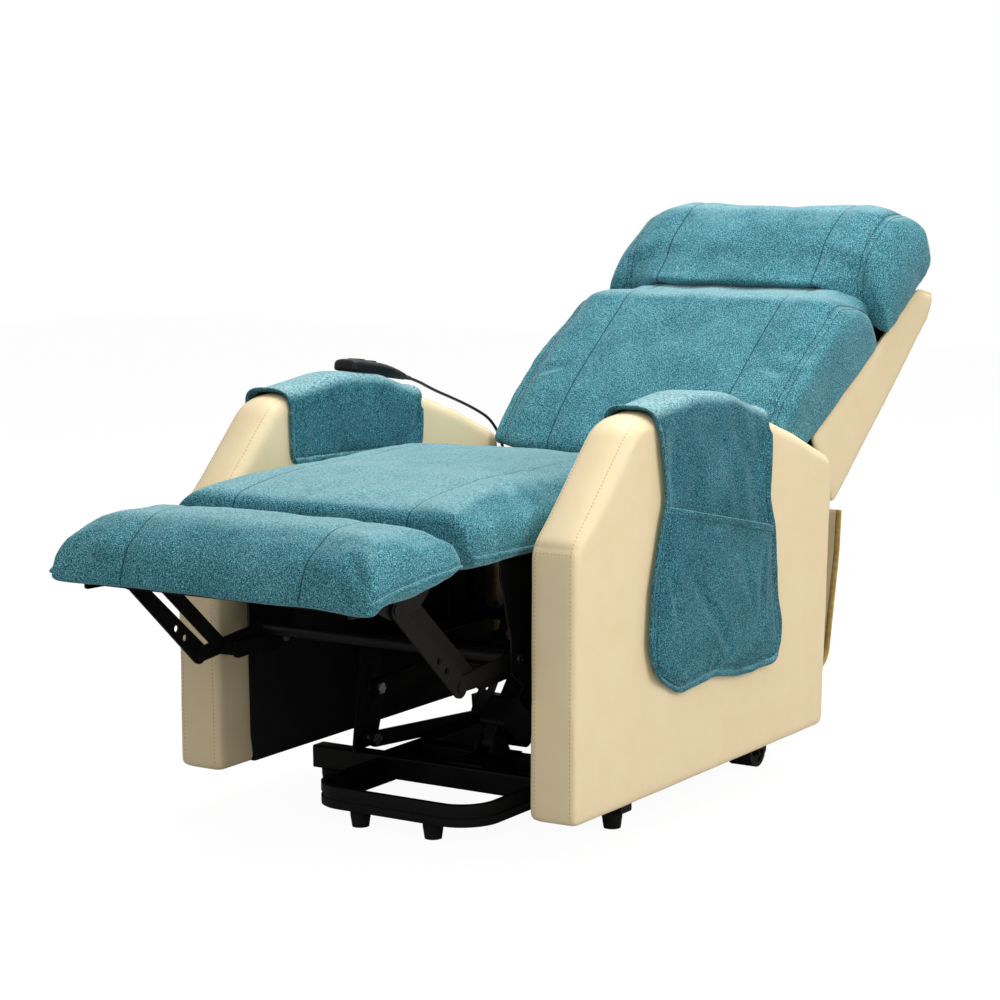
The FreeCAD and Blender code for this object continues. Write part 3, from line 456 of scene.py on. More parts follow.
# %% [markdown]
# A stuffed case is round where nothing holds it. Blender's cloth simulation finds that
# shape: air pressure blows up a coarse copy, and the fine piece follows it.

# %% Smoothing and stuffing


def smooth_step(value, low, high):
    """0 below low, 1 above high, and a smooth S curve between."""
    t = np.clip((value - low) / (high - low), 0, 1)
    return t * t * (3 - 2 * t)


def soften(piece, rounds, share=0.5):
    """Moves each point a share of the way to the middle of its neighbours, in rounds."""
    edges = np.empty(len(piece.data.edges) * 2, int)
    piece.data.edges.foreach_get("vertices", edges)
    a, b = edges.reshape(-1, 2).T
    points = read_points(piece)
    number = np.bincount(np.concatenate([a, b]), minlength=len(points))[:, None]
    for _ in range(rounds):
        total = np.stack([np.bincount(a, points[b, i], len(points)) +
                          np.bincount(b, points[a, i], len(points)) for i in range(3)], axis=-1)
        points += share * (total / number - points)
    write_points(piece, points)


def swell(piece, shrink_mm, cap_mm, pressure, coarse_mm=11.0):
    """Stuffs a piece with air. A coarse copy, shrunk along its normals, is blown up in
    a cloth simulation, and no point moves further than the cap. The fine piece then
    moves as the nearest points of the copy did, each weighted by 1 / distance squared."""
    fine = read_points(piece)
    trial = new_object(piece.name + "_trial", piece.data.copy())
    remesh(trial, coarse_mm)
    start = read_points(trial) - read_normals(trial) * shrink_mm
    write_points(trial, start)
    cloth = trial.modifiers.new("stuffing", "CLOTH")
    cloth.settings.quality = 4
    cloth.settings.use_pressure = True
    cloth.settings.uniform_pressure_force = pressure
    cloth.settings.effector_weights.gravity = 0
    cloth.point_cache.frame_end = 20
    for number in range(1, 21):
        bpy.context.scene.frame_set(number)
    apply_modifiers(trial)
    moved = read_points(trial) - start
    far = np.linalg.norm(moved, axis=1, keepdims=True)
    moved *= np.minimum(1, cap_mm / np.maximum(far, 1e-6))
    moved[:, 0] *= 0.4
    tree = KDTree(len(start))
    for number, place in enumerate(start):
        tree.insert(place, number)
    tree.balance()
    inner = fine - read_normals(piece) * shrink_mm
    near = [tree.find_n(place, 6) for place in inner]
    index = np.array([[n[1] for n in row] for row in near])
    weight = 1 / (np.array([[n[2] for n in row] for row in near]) + 2.0) ** 2
    weight /= weight.sum(axis=1, keepdims=True)
    write_points(piece, inner + (moved[index] * weight[..., None]).sum(axis=1))
    bpy.data.objects.remove(trial)
    bpy.context.scene.frame_set(1)
    print(piece.name, "swelled by up to", round(float(far.max()), 1), "mm")


def round_off(piece):
    """One live subdivision: the quads of a soft piece turn into a smooth surface."""
    smoother = piece.modifiers.new("smoother", "SUBSURF")
    smoother.levels = smoother.render_levels = 1


# %% [markdown]
# A seam holds the cloth down along a line, and a crease is a fold that was pressed in.
# Both sink as a bell curve of the distance from their line. No cloth is quite even
# either, so slow waves in random directions move its points a little.

# %% Seams, creases and unevenness


def press_seam(piece, distance, mask, wide, narrow):
    """Pulls a seam in: a wide soft valley and a narrow groove, each a bell curve of
    the distance from the seam. wide and narrow are (depth, width) in millimetres."""
    depth = sum(d * np.exp(-(distance / w) ** 2) for d, w in (wide, narrow)) * mask
    write_points(piece, read_points(piece) - read_normals(piece) * depth[:, None])


def press_creases(piece, creases):
    """Presses folds into cloth. A crease runs from a to b and sinks as a bell curve of
    the distance from that line, with a lower lip raised on both of its sides."""
    points, normals = read_points(piece), read_normals(piece)
    depth = np.zeros(len(points))
    for start, end, deep, width in creases:
        a, b = np.array(start, float), np.array(end, float)
        share = np.clip((points - a) @ (b - a) / ((b - a) @ (b - a)), 0, 1)
        away = np.linalg.norm(points - a - share[:, None] * (b - a), axis=1)
        fade = np.sin(np.pi * (0.12 + 0.76 * share))
        depth += fade * deep * (np.exp(-(away / width) ** 2)
                                - 0.4 * np.exp(-((away - 2.1 * width) / width) ** 2))
    write_points(piece, points - normals * depth[:, None])


def ripple(points, seed, length_mm):
    """Gentle unevenness from -1 to 1: a sum of slow waves in fixed random directions."""
    random = np.random.default_rng(seed)
    value = np.zeros(len(points))
    for _ in range(7):
        way = unit(random.normal(size=3))
        pace = 2 * np.pi / (length_mm * random.uniform(0.7, 1.6))
        value += np.sin(points @ way * pace + random.uniform(0, 2 * np.pi))
    return value / 3.5


# %% [markdown]
# Welts and stitches lie on the finished surface. A search tree over its faces finds
# the nearest place on it, or the place that a ray hits.

# %% Lines on a surface


def surface_of(piece):
    """A search tree over the faces of a piece with its modifiers."""
    return BVHTree.FromObject(piece, bpy.context.evaluated_depsgraph_get())


def found_places(found):
    """Splits what a search tree found into places, in chair millimetres, and normals."""
    found = [f for f in found if f[0] is not None]
    return millimetres([tuple(f[0]) for f in found]), np.array([tuple(f[1]) for f in found])


def section_line(piece, x, centre, angles):
    """Where a plane across x meets the piece's outside: rays come in from far away
    towards the centre (y, z), one for each angle. Gives the places and normals."""
    tree = surface_of(piece)
    out = at_x(0.0, np.column_stack([np.cos(angles), np.sin(angles)]))
    far_off = metres(np.array([x, *centre]) + out * 1200)
    return found_places(tree.ray_cast(Vector(f), Vector(-o)) for f, o in zip(far_off, out))


def lay_on(piece, path):
    """Snaps a path onto the nearest surface of a piece. Gives places and normals."""
    tree = surface_of(piece)
    return found_places(tree.find_nearest(Vector(place)) for place in metres(path))


# %% [markdown]
# ## Chenille
# Chenille yarn is a core thread with short tufts standing out round it. Woven, it
# gives a soft melange: light and dark tufts side by side, and a bright haze where
# the pile is seen edge on. That haze is the sheen of the shader. The tufts are
# noise of 1.5 mm, drawn a little coarser than real ones so that they show in the
# render, and slow noise shades the pile as hands brush it. Where the cloth faces up,
# pale flecks are mixed into its colour: painted light on its tops.
# The two sewn seams along the cushions get a thin dark line of painted shade, where
# they pull the cloth in.

# %% Chenille
tuft_mm = 1.5
yarn_mm = 1.9
fleck_mm = 3.4
brushed_mm = 70.0
seam_place = 148.0


def woven_chenille(name, shades, haze, top_light_from, top_lightness):
    """Chenille in four shades from the ground to the tips of the tufts. Haze is the
    weight of the sheen. Where the cloth faces up, pale flecks are mixed in as painted
    light on its tops: this starts where the normal's height is top_light_from and grows
    to top_lightness. The seams get a line of painted shade where |x| is the seams' place."""
    made, tree, shader, place = start_material(name)
    centred = add(tree, "Mapping", {"Vector": place, "Location": (-float(origin[0]), 0, 0)})
    centred = centred.outputs[0]
    tufts = noise(tree, centred, tuft_mm, Detail=2.0, Roughness=0.6)
    brushed = noise(tree, centred, brushed_mm, Detail=5.0, Roughness=0.65)
    yarn = add(tree, "TexVoronoi", {"Vector": centred, "Scale": 1 / (yarn_mm * MM)})
    yarn = yarn.outputs["Distance"]
    shade = maths(tree, "MULTIPLY_ADD", brushed, 0.16, tufts)
    melange = maths(tree, "MULTIPLY_ADD", yarn, -0.16, shade)
    pile = ramp(tree, melange, list(zip((0.36, 0.46, 0.56, 0.67), shades)))
    # Painted light: where the normal points up, pale flecks of #A9D6DC are mixed into the pile colour.
    upward = axis_of(tree, add(tree, "TexCoord").outputs["Normal"], 2)
    painted_top_light = span(tree, upward, top_light_from, 0.97, 0.0, top_lightness)
    fleck = noise(tree, centred, fleck_mm, Detail=3.0, Roughness=0.7)
    top_light_share = maths(tree, "MULTIPLY", painted_top_light, span(tree, fleck, 0.38, 0.62, 0.1, 1.9))
    top_lit_pile = blend(tree, top_light_share, pile, linear("#A9D6DC"))
    side = maths(tree, "ABSOLUTE", axis_of(tree, centred, 0))
    seam_gap = maths(tree, "ABSOLUTE", maths(tree, "SUBTRACT", side, seam_place * MM))
    # Painted shade: the colour darkens towards #143C45 in a thin line along each seam.
    seam_painted_shade = span(tree, seam_gap, 0.5 * MM, 2.0 * MM, 0.2, 1.0, interpolation_type="SMOOTHSTEP")
    pile_height = maths(tree, "MULTIPLY_ADD", yarn, -0.7, tufts)
    feed(tree, shader, {"Base Color": blend(tree, seam_painted_shade, linear("#143C45"), top_lit_pile),
                        "Roughness": 0.95, "Specular IOR Level": 0.15,
                        "Sheen Weight": haze, "Sheen Roughness": 0.24,
                        "Sheen Tint": linear("#CDE8EE"),
                        "Normal": relief(tree, pile_height, 0.9, 0.8)})
    return made


chenille = woven_chenille("woven_chenille_teal", ("#1B4853", "#36707D", "#5398A5", "#8DC8D1"),
                          0.85, 0.82, 0.34)
# The arm covers get the same chenille in darker shades: painted shade on their hanging
# sides, and more painted light where they face up.
shaded_cover_chenille = woven_chenille("woven_chenille_covers",
                                ("#0D333D", "#235865", "#3B7E8C", "#72B0BB"), 0.6, 0.30, 0.60)
print("chenille tufts", tuft_mm, "mm")

# %% [markdown]
# ## Sewing thread
# Spun polyester thread is dull and slightly fuzzy. Teal thread sews the chenille, and
# beige thread the faux leather. How coarse a row is, its gauge, has three sizes: the
# pitch from stitch to stitch, the length of a stitch, and half of its thickness.

# %% Sewing thread
twist_mm = 1.0
edge_gauge = (6.2, 5.0, 0.75)
hem_gauge = (6.5, 4.6, 0.5)
leather_gauge = (6.0, 3.6, 0.45)


def spun_thread(name, dark, light, roughness):
    """Thread in two shades that change along each turn of its twist."""
    made, tree, shader, place = start_material(name)
    shade = ramp(tree, noise(tree, place, twist_mm), [(0.3, dark), (0.7, light)])
    feed(tree, shader, {"Base Color": shade, "Roughness": roughness})
    return made


thread_teal = spun_thread("polyester_thread_teal", "#0F2E36", "#1F4B55", 0.6)
thread_cream = spun_thread("polyester_thread_beige", "#AE9258", "#CDB27E", 0.55)
print("threads", thread_teal.name, "and", thread_cream.name)

# %% [markdown]
# A sewn row is one small grain of thread, repeated. NumPy makes all grains of a row at
# once: the array's rows are stitches, and its columns are the rings along a stitch.

# %% Stitches


def stitches(name, path, outwards, gauge, thread, body):
    """A row of thread stitches: one small six-sided grain repeated along a path.

    The gauge is the pitch, a stitch's length and its radius. Each stitch lies along the
    path for its length, rises slightly out of the material in its middle, and the next
    one starts a pitch further on.
    """
    pitch, length, radius = gauge
    starts = np.arange(pitch / 2, lengths_along(path)[-1] - length, pitch)
    rows = np.array([0.0, 0.2, 0.5, 0.8, 1.0])
    girth = np.array([0.25, 0.85, 1.0, 0.85, 0.25])
    places = starts[:, None] + rows[None] * length
    both = walk(np.hstack([path, outwards]), places, lengths_along(path))
    centre, lift = both[..., :3], both[..., 3:]
    side = unit(np.cross(unit(centre[:, -1:] - centre[:, :1]), lift))
    turn = np.linspace(0, 2 * np.pi, 6, endpoint=False)
    ring = np.cos(turn)[:, None] * side[:, :, None] + np.sin(turn)[:, None] * lift[:, :, None]
    ring = centre[:, :, None] + ring * (girth * radius)[None, :, None, None]
    ring += lift[:, :, None] * (np.sin(rows * np.pi) * radius * 0.5)[None, :, None, None]
    cell = np.arange(30).reshape(5, 6)
    right = np.roll(cell, -1, axis=1)
    walls = np.stack([cell[:-1], right[:-1], right[1:], cell[1:]], axis=-1).reshape(-1, 4)
    shift = (np.arange(len(starts)) * cell.size)[:, None, None]
    faces = (walls[None] + shift).reshape(-1, 4).tolist()
    faces += (cell[0][::-1][None] + shift[:, 0]).tolist()
    faces += (cell[-1][None] + shift[:, 0]).tolist()
    made = mesh_object(name, ring.reshape(-1, 3), faces)
    face_outwards(made)
    dress(made, thread, body)
    print(name, len(starts), "stitches")


# %% [markdown]
# ## Faux leather
# PU faux leather is a knitted cloth under a thin film, embossed with a pebble grain.
# The film gives a soft satin gloss, and the pebbles break it up. Long shallow
# puckers show where it is pulled over foam and board.

# %% Faux leather
leather, tree, shader, place = start_material("faux_leather_cream")
pebble_mm = 2.4
pucker_mm = 45.0
pebbles = add(tree, "TexVoronoi", {"Vector": place, "Scale": 1 / (pebble_mm * MM),
                                   "Randomness": 0.9}, feature="SMOOTH_F1").outputs["Distance"]
pucker = noise(tree, place, pucker_mm, Detail=3.0, Roughness=0.55, Distortion=0.4)
grain = relief(tree, pebbles, -0.22, 0.55)
feed(tree, shader, {"Base Color": ramp(tree, pucker, [(0.3, "#EED8AC"), (0.5, "#F0DBB1"),
                                                      (0.7, "#F1DDB5")]),
                    "Roughness": span(tree, pebbles, 0.0, 0.8, 0.40, 0.58),
                    "IOR": 1.5, "Specular IOR Level": 0.42,
                    "Normal": relief(tree, pucker, 2.0, 0.25, Normal=grain)})
print("leather pebbles", pebble_mm, "mm, puckers", pucker_mm, "mm")

# %% [markdown]
# ## Cushions
# Each cushion is a chenille case over foam, sewn in three lengthwise panels. The
# CAD solids carry the right outline. Their even copies are stuffed in a cloth
# simulation, the seams are pulled in, and creases are pressed where the photograph
# shows them. A thread row follows the edge seam at each end.

# %% Cushion helper
full_turn = np.linspace(0, 2 * np.pi, 541)


def cushion(node, name, body, shape, seam_mask, creases, ripple_mm, edge=None, cell_mm=6.0):
    """One stuffed cushion from a CAD node: swollen, seamed, creased and uneven. Shape is a
    formula that changes the even copy's points before it is stuffed, and seam_mask tells
    where the lengthwise seams run. Edge is where a seam runs round both ends, or None."""
    made = even_copy(node, name, cell_mm)
    write_points(made, shape(read_points(made)))
    soften(made, 9)
    swell(made, shrink_mm=4.0, cap_mm=9.0, pressure=4.0)
    soften(made, 3)
    points, normals = read_points(made), read_normals(made)
    points += normals * (ripple(points, len(name), 90.0) * ripple_mm)[:, None]
    write_points(made, points)
    distance = np.abs(np.abs(points[:, 0]) - seam_place)
    mask = (np.abs(normals[:, 0]) < 0.6) * seam_mask(points)
    press_seam(made, distance, mask, wide=(1.3, 15.0), narrow=(1.5, 3.6))
    if edge:
        press_seam(made, np.abs(np.abs(points[:, 0]) - edge), (np.abs(normals[:, 0]) < 0.95) * 1.0,
                   wide=(2.0, 13.0), narrow=(2.4, 3.4))
    press_creases(made, creases)
    round_off(made)
    dress(made, chenille, body)
    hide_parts(node)
    return made


def edge_rows(piece, body, x, centre):
    """Two rows of stitches round both ends of a cushion, one on each side of the seam."""
    for side, word in sides:
        for step, number in ((-5.0, "inner"), (5.0, "outer")):
            places, out = section_line(piece, side * (x + step), centre, full_turn)
            stitches(f"{piece.name}_{number}_stitches_{word}", places, out, edge_gauge,
                     thread_teal, body)


def end_welt(piece, body, x, y_range, z):
    """A sewn welt along the lower edge of both ends, laid on the cushion's surface. Its
    thread row runs a little above it."""
    row_above = 9.0
    y = np.linspace(*y_range, 90)
    height = np.interp(y, np.linspace(*y_range, len(z)), z)
    for side, word in sides:
        places, out = lay_on(piece, at_x(side * x, np.column_stack([y, height])))
        welt = tube_along(f"{piece.name}_welt_{word}", places + out * 0.8, 2.8)
        dress(welt, chenille, body)
        places, out = lay_on(piece, at_x(side * x, np.column_stack([y, height + row_above])))
        stitches(f"{piece.name}_stitches_{word}", places, out, hem_gauge, thread_teal, body)


def both_sides(creases):
    """The same creases on the chair's left and right."""
    flip = np.array([-1, 1, 1])
    return creases + [(flip * start, flip * end, deep, width)
                      for start, end, deep, width in creases]


print("a seam runs", seam_place, "mm to each side of the middle")

# %% Seat cushion


def seat_shape(points):
    """The cloth goes down past the seat board at the front and sides: the lowest part
    there is stretched down by 21 mm. The rear half of the top is pressed in by up to 28 mm,
    where people sit."""
    points = points.copy()
    beside = np.maximum(smooth_step(np.abs(points[:, 0]), 232, 240),
                        1 - smooth_step(points[:, 1], -400, -388))
    points[:, 2] -= 21 * beside * (1 - smooth_step(points[:, 2], 442, 486))
    points[:, 2] -= 28 * smooth_step(points[:, 1], -60, 290) * smooth_step(points[:, 2], 445, 490)
    points[:, 0] += np.sign(points[:, 0]) * 3 * smooth_step(np.abs(points[:, 0]), 230, 256)
    return points


# A crease is its start, its end, its depth and its width.
seat_creases = both_sides([((256, -430, 480), (215, -400, 512), 3.2, 8)]) + [
    ((225, -330, 515), (150, -280, 522), 3.0, 9), ((200, -200, 520), (110, -150, 522), 2.4, 10),
    ((235, -120, 517), (160, -60, 520), 2.6, 9), ((-235, -60, 517), (-150, -20, 520), 2.4, 10),
    ((240, 60, 515), (170, 120, 516), 2.6, 10), ((60, -380, 520), (20, -300, 522), 1.8, 12),
    ((-60, 140, 514), (40, 170, 514), 2.0, 12)]
seat = cushion("seat_cushion", "seat_padding", "seat", seat_shape,
               lambda p: (p[:, 2] > 470) * 1.0, seat_creases, ripple_mm=1.2)
end_welt(seat, "seat", 260.0, (-484, 300), (440, 434, 434, 440))

# %% [markdown]
# The two back cushions share one case. At its ends the head cushion's side panel runs
# down behind the lumbar cushion's shoulder to the back's edge, and its ends are round.
# Both are changed in the back's own directions: up along the back, and out of it.

# %% The back's own directions
back_slope = math.radians(33)
hinge_yz = np.array([390.0, 425.0])
up_back = np.array([math.cos(back_slope), math.sin(back_slope)])
out_of_back = np.array([-math.sin(back_slope), math.cos(back_slope)])


def to_back(points):
    """Splits places into across, up along the back, and out of the back."""
    flat = points[:, 1:] - hinge_yz
    return points[:, 0], flat @ up_back, flat @ out_of_back


def from_back(across, along, off):
    """The reverse: across, along and out of the back to chair millimetres."""
    flat = hinge_yz + along[:, None] * up_back + off[:, None] * out_of_back
    return np.column_stack([across, flat])


def end_curve(across, inner, outer):
    """A quarter ellipse: 0 up to the inner place, 1 at the outer one."""
    share = np.clip((np.abs(across) - inner) / (outer - inner), 0, 1)
    return 1 - np.sqrt(1 - share ** 2)


# %% Lumbar cushion


def lumbar_shape(points):
    """Behind its shoulder the cushion draws in, under the head cushion's side panel. The
    shoulder itself sinks towards both ends on a quarter ellipse."""
    across, along, off = to_back(points)
    behind = smooth_step(along, 385, 420) * smooth_step(np.abs(across), 180, 225)
    ends = end_curve(across, 175, 266)
    off = off - ends * 36 * smooth_step(along, 150, 330) * smooth_step(off, 10, 85)
    along = along - ends * 26 * smooth_step(along, 270, 390) * smooth_step(off, 40, 85)
    low_edge = (56 - 26 * (across / 262) ** 6) * smooth_step(off, 4, 50)
    along = along - low_edge * (1 - smooth_step(along, -5, 90))
    across = across * (1 + 0.035 * smooth_step(np.abs(across), 150, 262)) * (1 - 0.11 * behind)
    return from_back(across, along, off)


lumbar_creases = [
    ((258, 560, 690), (205, 560, 712), 3.5, 8), ((255, 590, 735), (215, 575, 722), 3.0, 8),
    ((235, 450, 600), (190, 460, 612), 2.6, 9), ((-235, 430, 590), (-180, 445, 600), 2.6, 9),
    ((240, 395, 545), (200, 400, 556), 2.4, 9), ((120, 600, 725), (60, 604, 722), 2.6, 10),
    ((-110, 602, 725), (-50, 600, 722), 2.4, 10)]
lumbar_edge = 240.0
lumbar = cushion("lumbar_cushion", "lumbar_padding", "back", lumbar_shape,
                 lambda p: (p[:, 1] < 760) * 1.0, lumbar_creases, ripple_mm=1.4,
                 edge=lumbar_edge)
edge_rows(lumbar, "back", lumbar_edge, (560, 560))

# %% Head cushion


def head_shape(points):
    """The side panels grow down to the back: the thickness between the underside, a
    straight slope, and the top is stretched to reach the back near both ends. The
    front sinks and the top draws in towards both ends on a quarter ellipse, the
    stuffing pushes the end panels outwards, and the lower lip lies on the lumbar's top."""
    across, along, off = to_back(points)
    top = 121.0
    under = 83.0 - (np.clip(along, 395, 580) - 395) * 86 / 185
    reach = smooth_step(np.abs(across), 150, 252)
    new_under = under * (1 - reach) - 28.0 * reach
    stretched = top - (top - off) * (top - new_under) / (top - under)
    off = np.where(off < top, stretched, off)
    ends = end_curve(across, 165, 270)
    lip = (1 - smooth_step(along, 400, 470)) * smooth_step(off, 45, 83)
    lip = lip * (1 - smooth_step(np.abs(across), 90, 250))
    off = off + 17 * lip - 9 * np.exp(-((along - 482) / 42) ** 2) * smooth_step(off, 60, 110)
    along = along - 17 * lip
    off = off - ends * 40 * smooth_step(off, 10, 95) * smooth_step(along, 400, 520)
    along = along - ends * 46 * smooth_step(along, 560, 667)
    outer = smooth_step(np.abs(across), 150, 267)
    across = across * (1 + 0.045 * outer) * (1 - 0.10 * outer * smooth_step(off, 30, 112))
    return from_back(across, along, off)


head_creases = [
    ((262, 690, 735), (205, 700, 745), 3.6, 8), ((-262, 690, 735), (-205, 700, 745), 3.0, 8),
    ((240, 780, 830), (195, 775, 834), 2.8, 9), ((-240, 780, 830), (-190, 775, 834), 2.6, 9),
    ((100, 700, 740), (150, 695, 742), 2.2, 10), ((-90, 700, 742), (-140, 698, 740), 2.2, 10)]
head_edge = 224.0
head = cushion("head_cushion", "head_padding", "back", head_shape,
               lambda p: (p[:, 1] < 905) * 1.0, head_creases, ripple_mm=1.3,
               edge=head_edge)
edge_rows(head, "back", head_edge, (830, 780))

# %% Footrest pad


def pad_shape(points):
    """The end panels stand up nearly as high as the middle, the front lip hangs past
    the pad frame, and the stuffing pushes both ends outwards."""
    points = points.copy()
    ends = smooth_step(np.abs(points[:, 0]), 234, 264)
    rear = smooth_step(points[:, 1], -700, -560)
    points[:, 2] += ends * (4 + 16 * rear) * smooth_step(points[:, 2], 428, 460)
    lip = (1 - smooth_step(points[:, 2], 408, 440)) * (1 - smooth_step(points[:, 1], -706, -690))
    points[:, 2] -= 8 * lip
    points[:, 0] *= 1 + 0.03 * smooth_step(np.abs(points[:, 0]), 150, 266)
    return points


pad_creases = both_sides([
    ((258, -722, 440), (215, -690, 470), 4.0, 9), ((262, -640, 450), (225, -630, 485), 2.8, 9),
    ((250, -520, 460), (205, -535, 495), 3.2, 9), ((274, -730, 431), (274, -512, 448), 3.4, 4)])
pad_creases += [((120, -690, 468), (60, -700, 462), 2.0, 12)]
pad = cushion("ottoman_cushion", "footrest_padding", "ottoman", pad_shape,
              lambda p: (p[:, 2] > 420) * 1.0, pad_creases, ripple_mm=1.2, cell_mm=5.5)
end_welt(pad, "ottoman", 275.0, (-724, -512), (420, 430, 436, 438))

# %% [markdown]
# ## Arms
# Each arm is a board frame wrapped in foam and faux leather. Its panels are sewn
# together along the arm's edges, with a row of top stitching on each side of the
# front and top band, and a cross seam low on the front. The CAD solid has the shape,
# so its even copy is only softened: the edges turn round as foam under leather does.
# An outline is a list of corners, each with the radius of the arc that rounds it.

# %% Outlines


def even_steps(path, step):
    """The same path with its points an equal step apart."""
    length = lengths_along(path)[-1]
    return walk(path, np.linspace(0, length, max(3, int(length / step))))


def rounded(points, closed=True, per_corner=10):
    """Outline of straight sides whose corners (y, z, radius) are turned into arcs.

    At each corner the arc touches both sides at radius / tan(half the corner's
    angle) from it, and its points are spread evenly along the turn.
    """
    corner = [np.array(p[:2], float) for p in points]
    radius = [p[2] if len(p) > 2 else 0.0 for p in points]
    made = []
    for i, (here, r) in enumerate(zip(corner, radius)):
        ends = not closed and i in (0, len(corner) - 1)
        if r == 0 or ends:
            made.append(here[None])
            continue
        before = unit(corner[i - 1] - here)
        after = unit(corner[(i + 1) % len(corner)] - here)
        half = math.acos(np.clip(before @ after, -1, 1)) / 2
        centre = here + unit(before + after) * r / math.sin(half)
        first = here + before * r / math.tan(half) - centre
        last = here + after * r / math.tan(half) - centre
        share = np.linspace(0, 1, per_corner)[:, None]
        turn = math.pi - 2 * half
        arc = (np.sin((1 - share) * turn) * first + np.sin(share * turn) * last) / math.sin(turn)
        made.append(centre + arc)
    line = np.vstack(made)
    return np.vstack([line, line[:1]]) if closed else line


# %% Arm outline and lean
arm_foot = 67.0
arm_corners = [(-372, arm_foot, 10), (-366, 447, 30), (-212, 599, 80), (-40, 618.5, 260),
               (60, 607, 100), (148, 577, 300), (267, 537, 300), (388, 487, 26),
               (357, arm_foot, 10)]
arm_inside, arm_outside = 269.0, 345.0
arm_middle = (arm_inside + arm_outside) / 2
lean = math.radians(0.3)


def leaned(points):
    """Turns arm pieces about their lower inside edge, so that their tops go outwards."""
    points = np.array(points, float)
    side = np.sign(points[..., 0])
    x = np.abs(points[..., 0]) - arm_inside
    z = points[..., 2] - arm_foot
    return np.stack([side * (arm_inside + x * math.cos(lean) + z * math.sin(lean)), points[..., 1],
                     arm_foot + z * math.cos(lean) - x * math.sin(lean)], axis=-1)


def outward(line):
    """The direction square to a line of (y, z) at each of its points, on its left."""
    ahead = np.gradient(line, axis=0)
    return unit(np.column_stack([-ahead[:, 1], ahead[:, 0]]))


arm_line = even_steps(rounded(arm_corners), 3.0)
arm_out = outward(arm_line)
crown_rise, crown_drop = 1.5, 10.5


def crown(points):
    """Above the cross seam the padding is rounded from side to side. Near the outline
    each point moves along the outline's outward direction by rise - drop * t^2.4, with
    t from 0 in the middle of the arm's width to 1 at its sides."""
    t = np.clip(np.abs(np.abs(points[:, 0]) - arm_middle) / (arm_outside - arm_middle), 0, 1)
    flat = points[:, 1:]
    near = np.concatenate([np.argmin(np.linalg.norm(part[:, None] - arm_line[None], axis=2), axis=1)
                           for part in np.array_split(flat, 1 + len(flat) // 4000)])
    far = np.linalg.norm(flat - arm_line[near], axis=1)
    amount = (crown_rise - crown_drop * t ** 2.4) * np.exp(-(far / 26) ** 2)
    amount *= smooth_step(flat[:, 1], 430, 500)
    return np.column_stack([points[:, 0], flat + arm_out[near] * amount[:, None]])


# %% Arms
for side, word in sides:
    arm = even_copy(f"arm_{word}", f"arm_{word}_upholstery", 6.0)
    soften(arm, 2)
    write_points(arm, crown(read_points(arm)))
    points, normals = read_points(arm), read_normals(arm)
    points += normals * (ripple(points, 40 + side, 140.0) * 0.5 + 0.6)[:, None]
    write_points(arm, points)
    seam_low = np.abs(points[:, 2] - 445.0)
    front = (points[:, 1] < -300) * (normals[:, 1] < -0.3)
    press_seam(arm, seam_low, front * 1.0, wide=(0.8, 10.0), narrow=(1.6, 3.6))
    round_off(arm)
    dress(arm, leather, "chassis")
    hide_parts(f"arm_{word}")
    for x, edge in ((arm_inside + 10, "inner"), (arm_outside - 10, "outer")):
        line = leaned(at_x(side * x, arm_line))
        upper = line[line[:, 2] > 75]
        start = int(np.argmax(np.linalg.norm(np.diff(upper, axis=0), axis=1))) + 1
        upper = np.roll(upper, -start, axis=0)
        places, out = lay_on(arm, upper)
        stitches(f"arm_{word}_stitches_{edge}", places, out, leather_gauge, thread_cream,
                 "chassis")
    across = np.linspace(arm_inside + 4, arm_outside - 4, 30)
    cross = leaned([(side * x, -372.0, 440.0) for x in across])
    places, out = lay_on(arm, cross)
    stitches(f"arm_{word}_cross_stitches", places, out, leather_gauge, thread_cream, "chassis")


# %% [markdown]
# ## Arm covers
# A chenille cloth lies over each arm: down the outside, across the top and down
# the inside. It is a rectangle with shaped ends, hemmed all round. One grid of
# points makes it: across the grid the cloth runs from its outer hem over the arm to
# its inner hem, and along the grid it runs from the front edge to the rear edge.
# Over the top its section is a superellipse, |x/a|^3 + |h/b|^3 = 1.
# Each side panel fills its four border lines evenly, which is a Coons patch.

# %% Helpers for cloth panels


def coons(bottom, top, front, rear):
    """Fills four border lines: the two straight blends between opposite lines are
    added, and the blend of the four corners is taken off once."""
    u = np.linspace(0, 1, len(bottom))[None, :, None]
    v = np.linspace(0, 1, len(front))[:, None, None]
    corners = ((1 - u) * (1 - v) * bottom[0] + u * (1 - v) * bottom[-1]
               + (1 - u) * v * top[0] + u * v * top[-1])
    return ((1 - v) * bottom[None] + v * top[None] + (1 - u) * front[:, None]
            + u * rear[:, None] - corners)


def stretch_of(line, first, last, count):
    """The part of a line between its points nearest to first and last, evenly cut."""
    a = int(np.argmin(np.linalg.norm(line - first, axis=1)))
    b = int(np.argmin(np.linalg.norm(line - last, axis=1)))
    part = line[a:b + 1] if a < b else line[b:a + 1][::-1]
    return walk(part, np.linspace(0, lengths_along(part)[-1], count))


def grid_lengths(grid):
    """How far each point of a grid is from the first row, and from the first column."""
    down = np.diff(grid, axis=0, prepend=grid[:1])
    along = np.diff(grid, axis=1, prepend=grid[:, :1])
    return (np.cumsum(np.linalg.norm(down, axis=2), axis=0),
            np.cumsum(np.linalg.norm(along, axis=2), axis=1))


def edge_distance(grid, rows=(True, True), columns=(True, True)):
    """How far each point of a grid is from the chosen first or last row or column."""
    down, along = grid_lengths(grid)
    choices = [(rows[0], down), (rows[1], down[-1:] - down),
               (columns[0], along), (columns[1], along[:, -1:] - along)]
    return np.min([far for wanted, far in choices if wanted], axis=0)


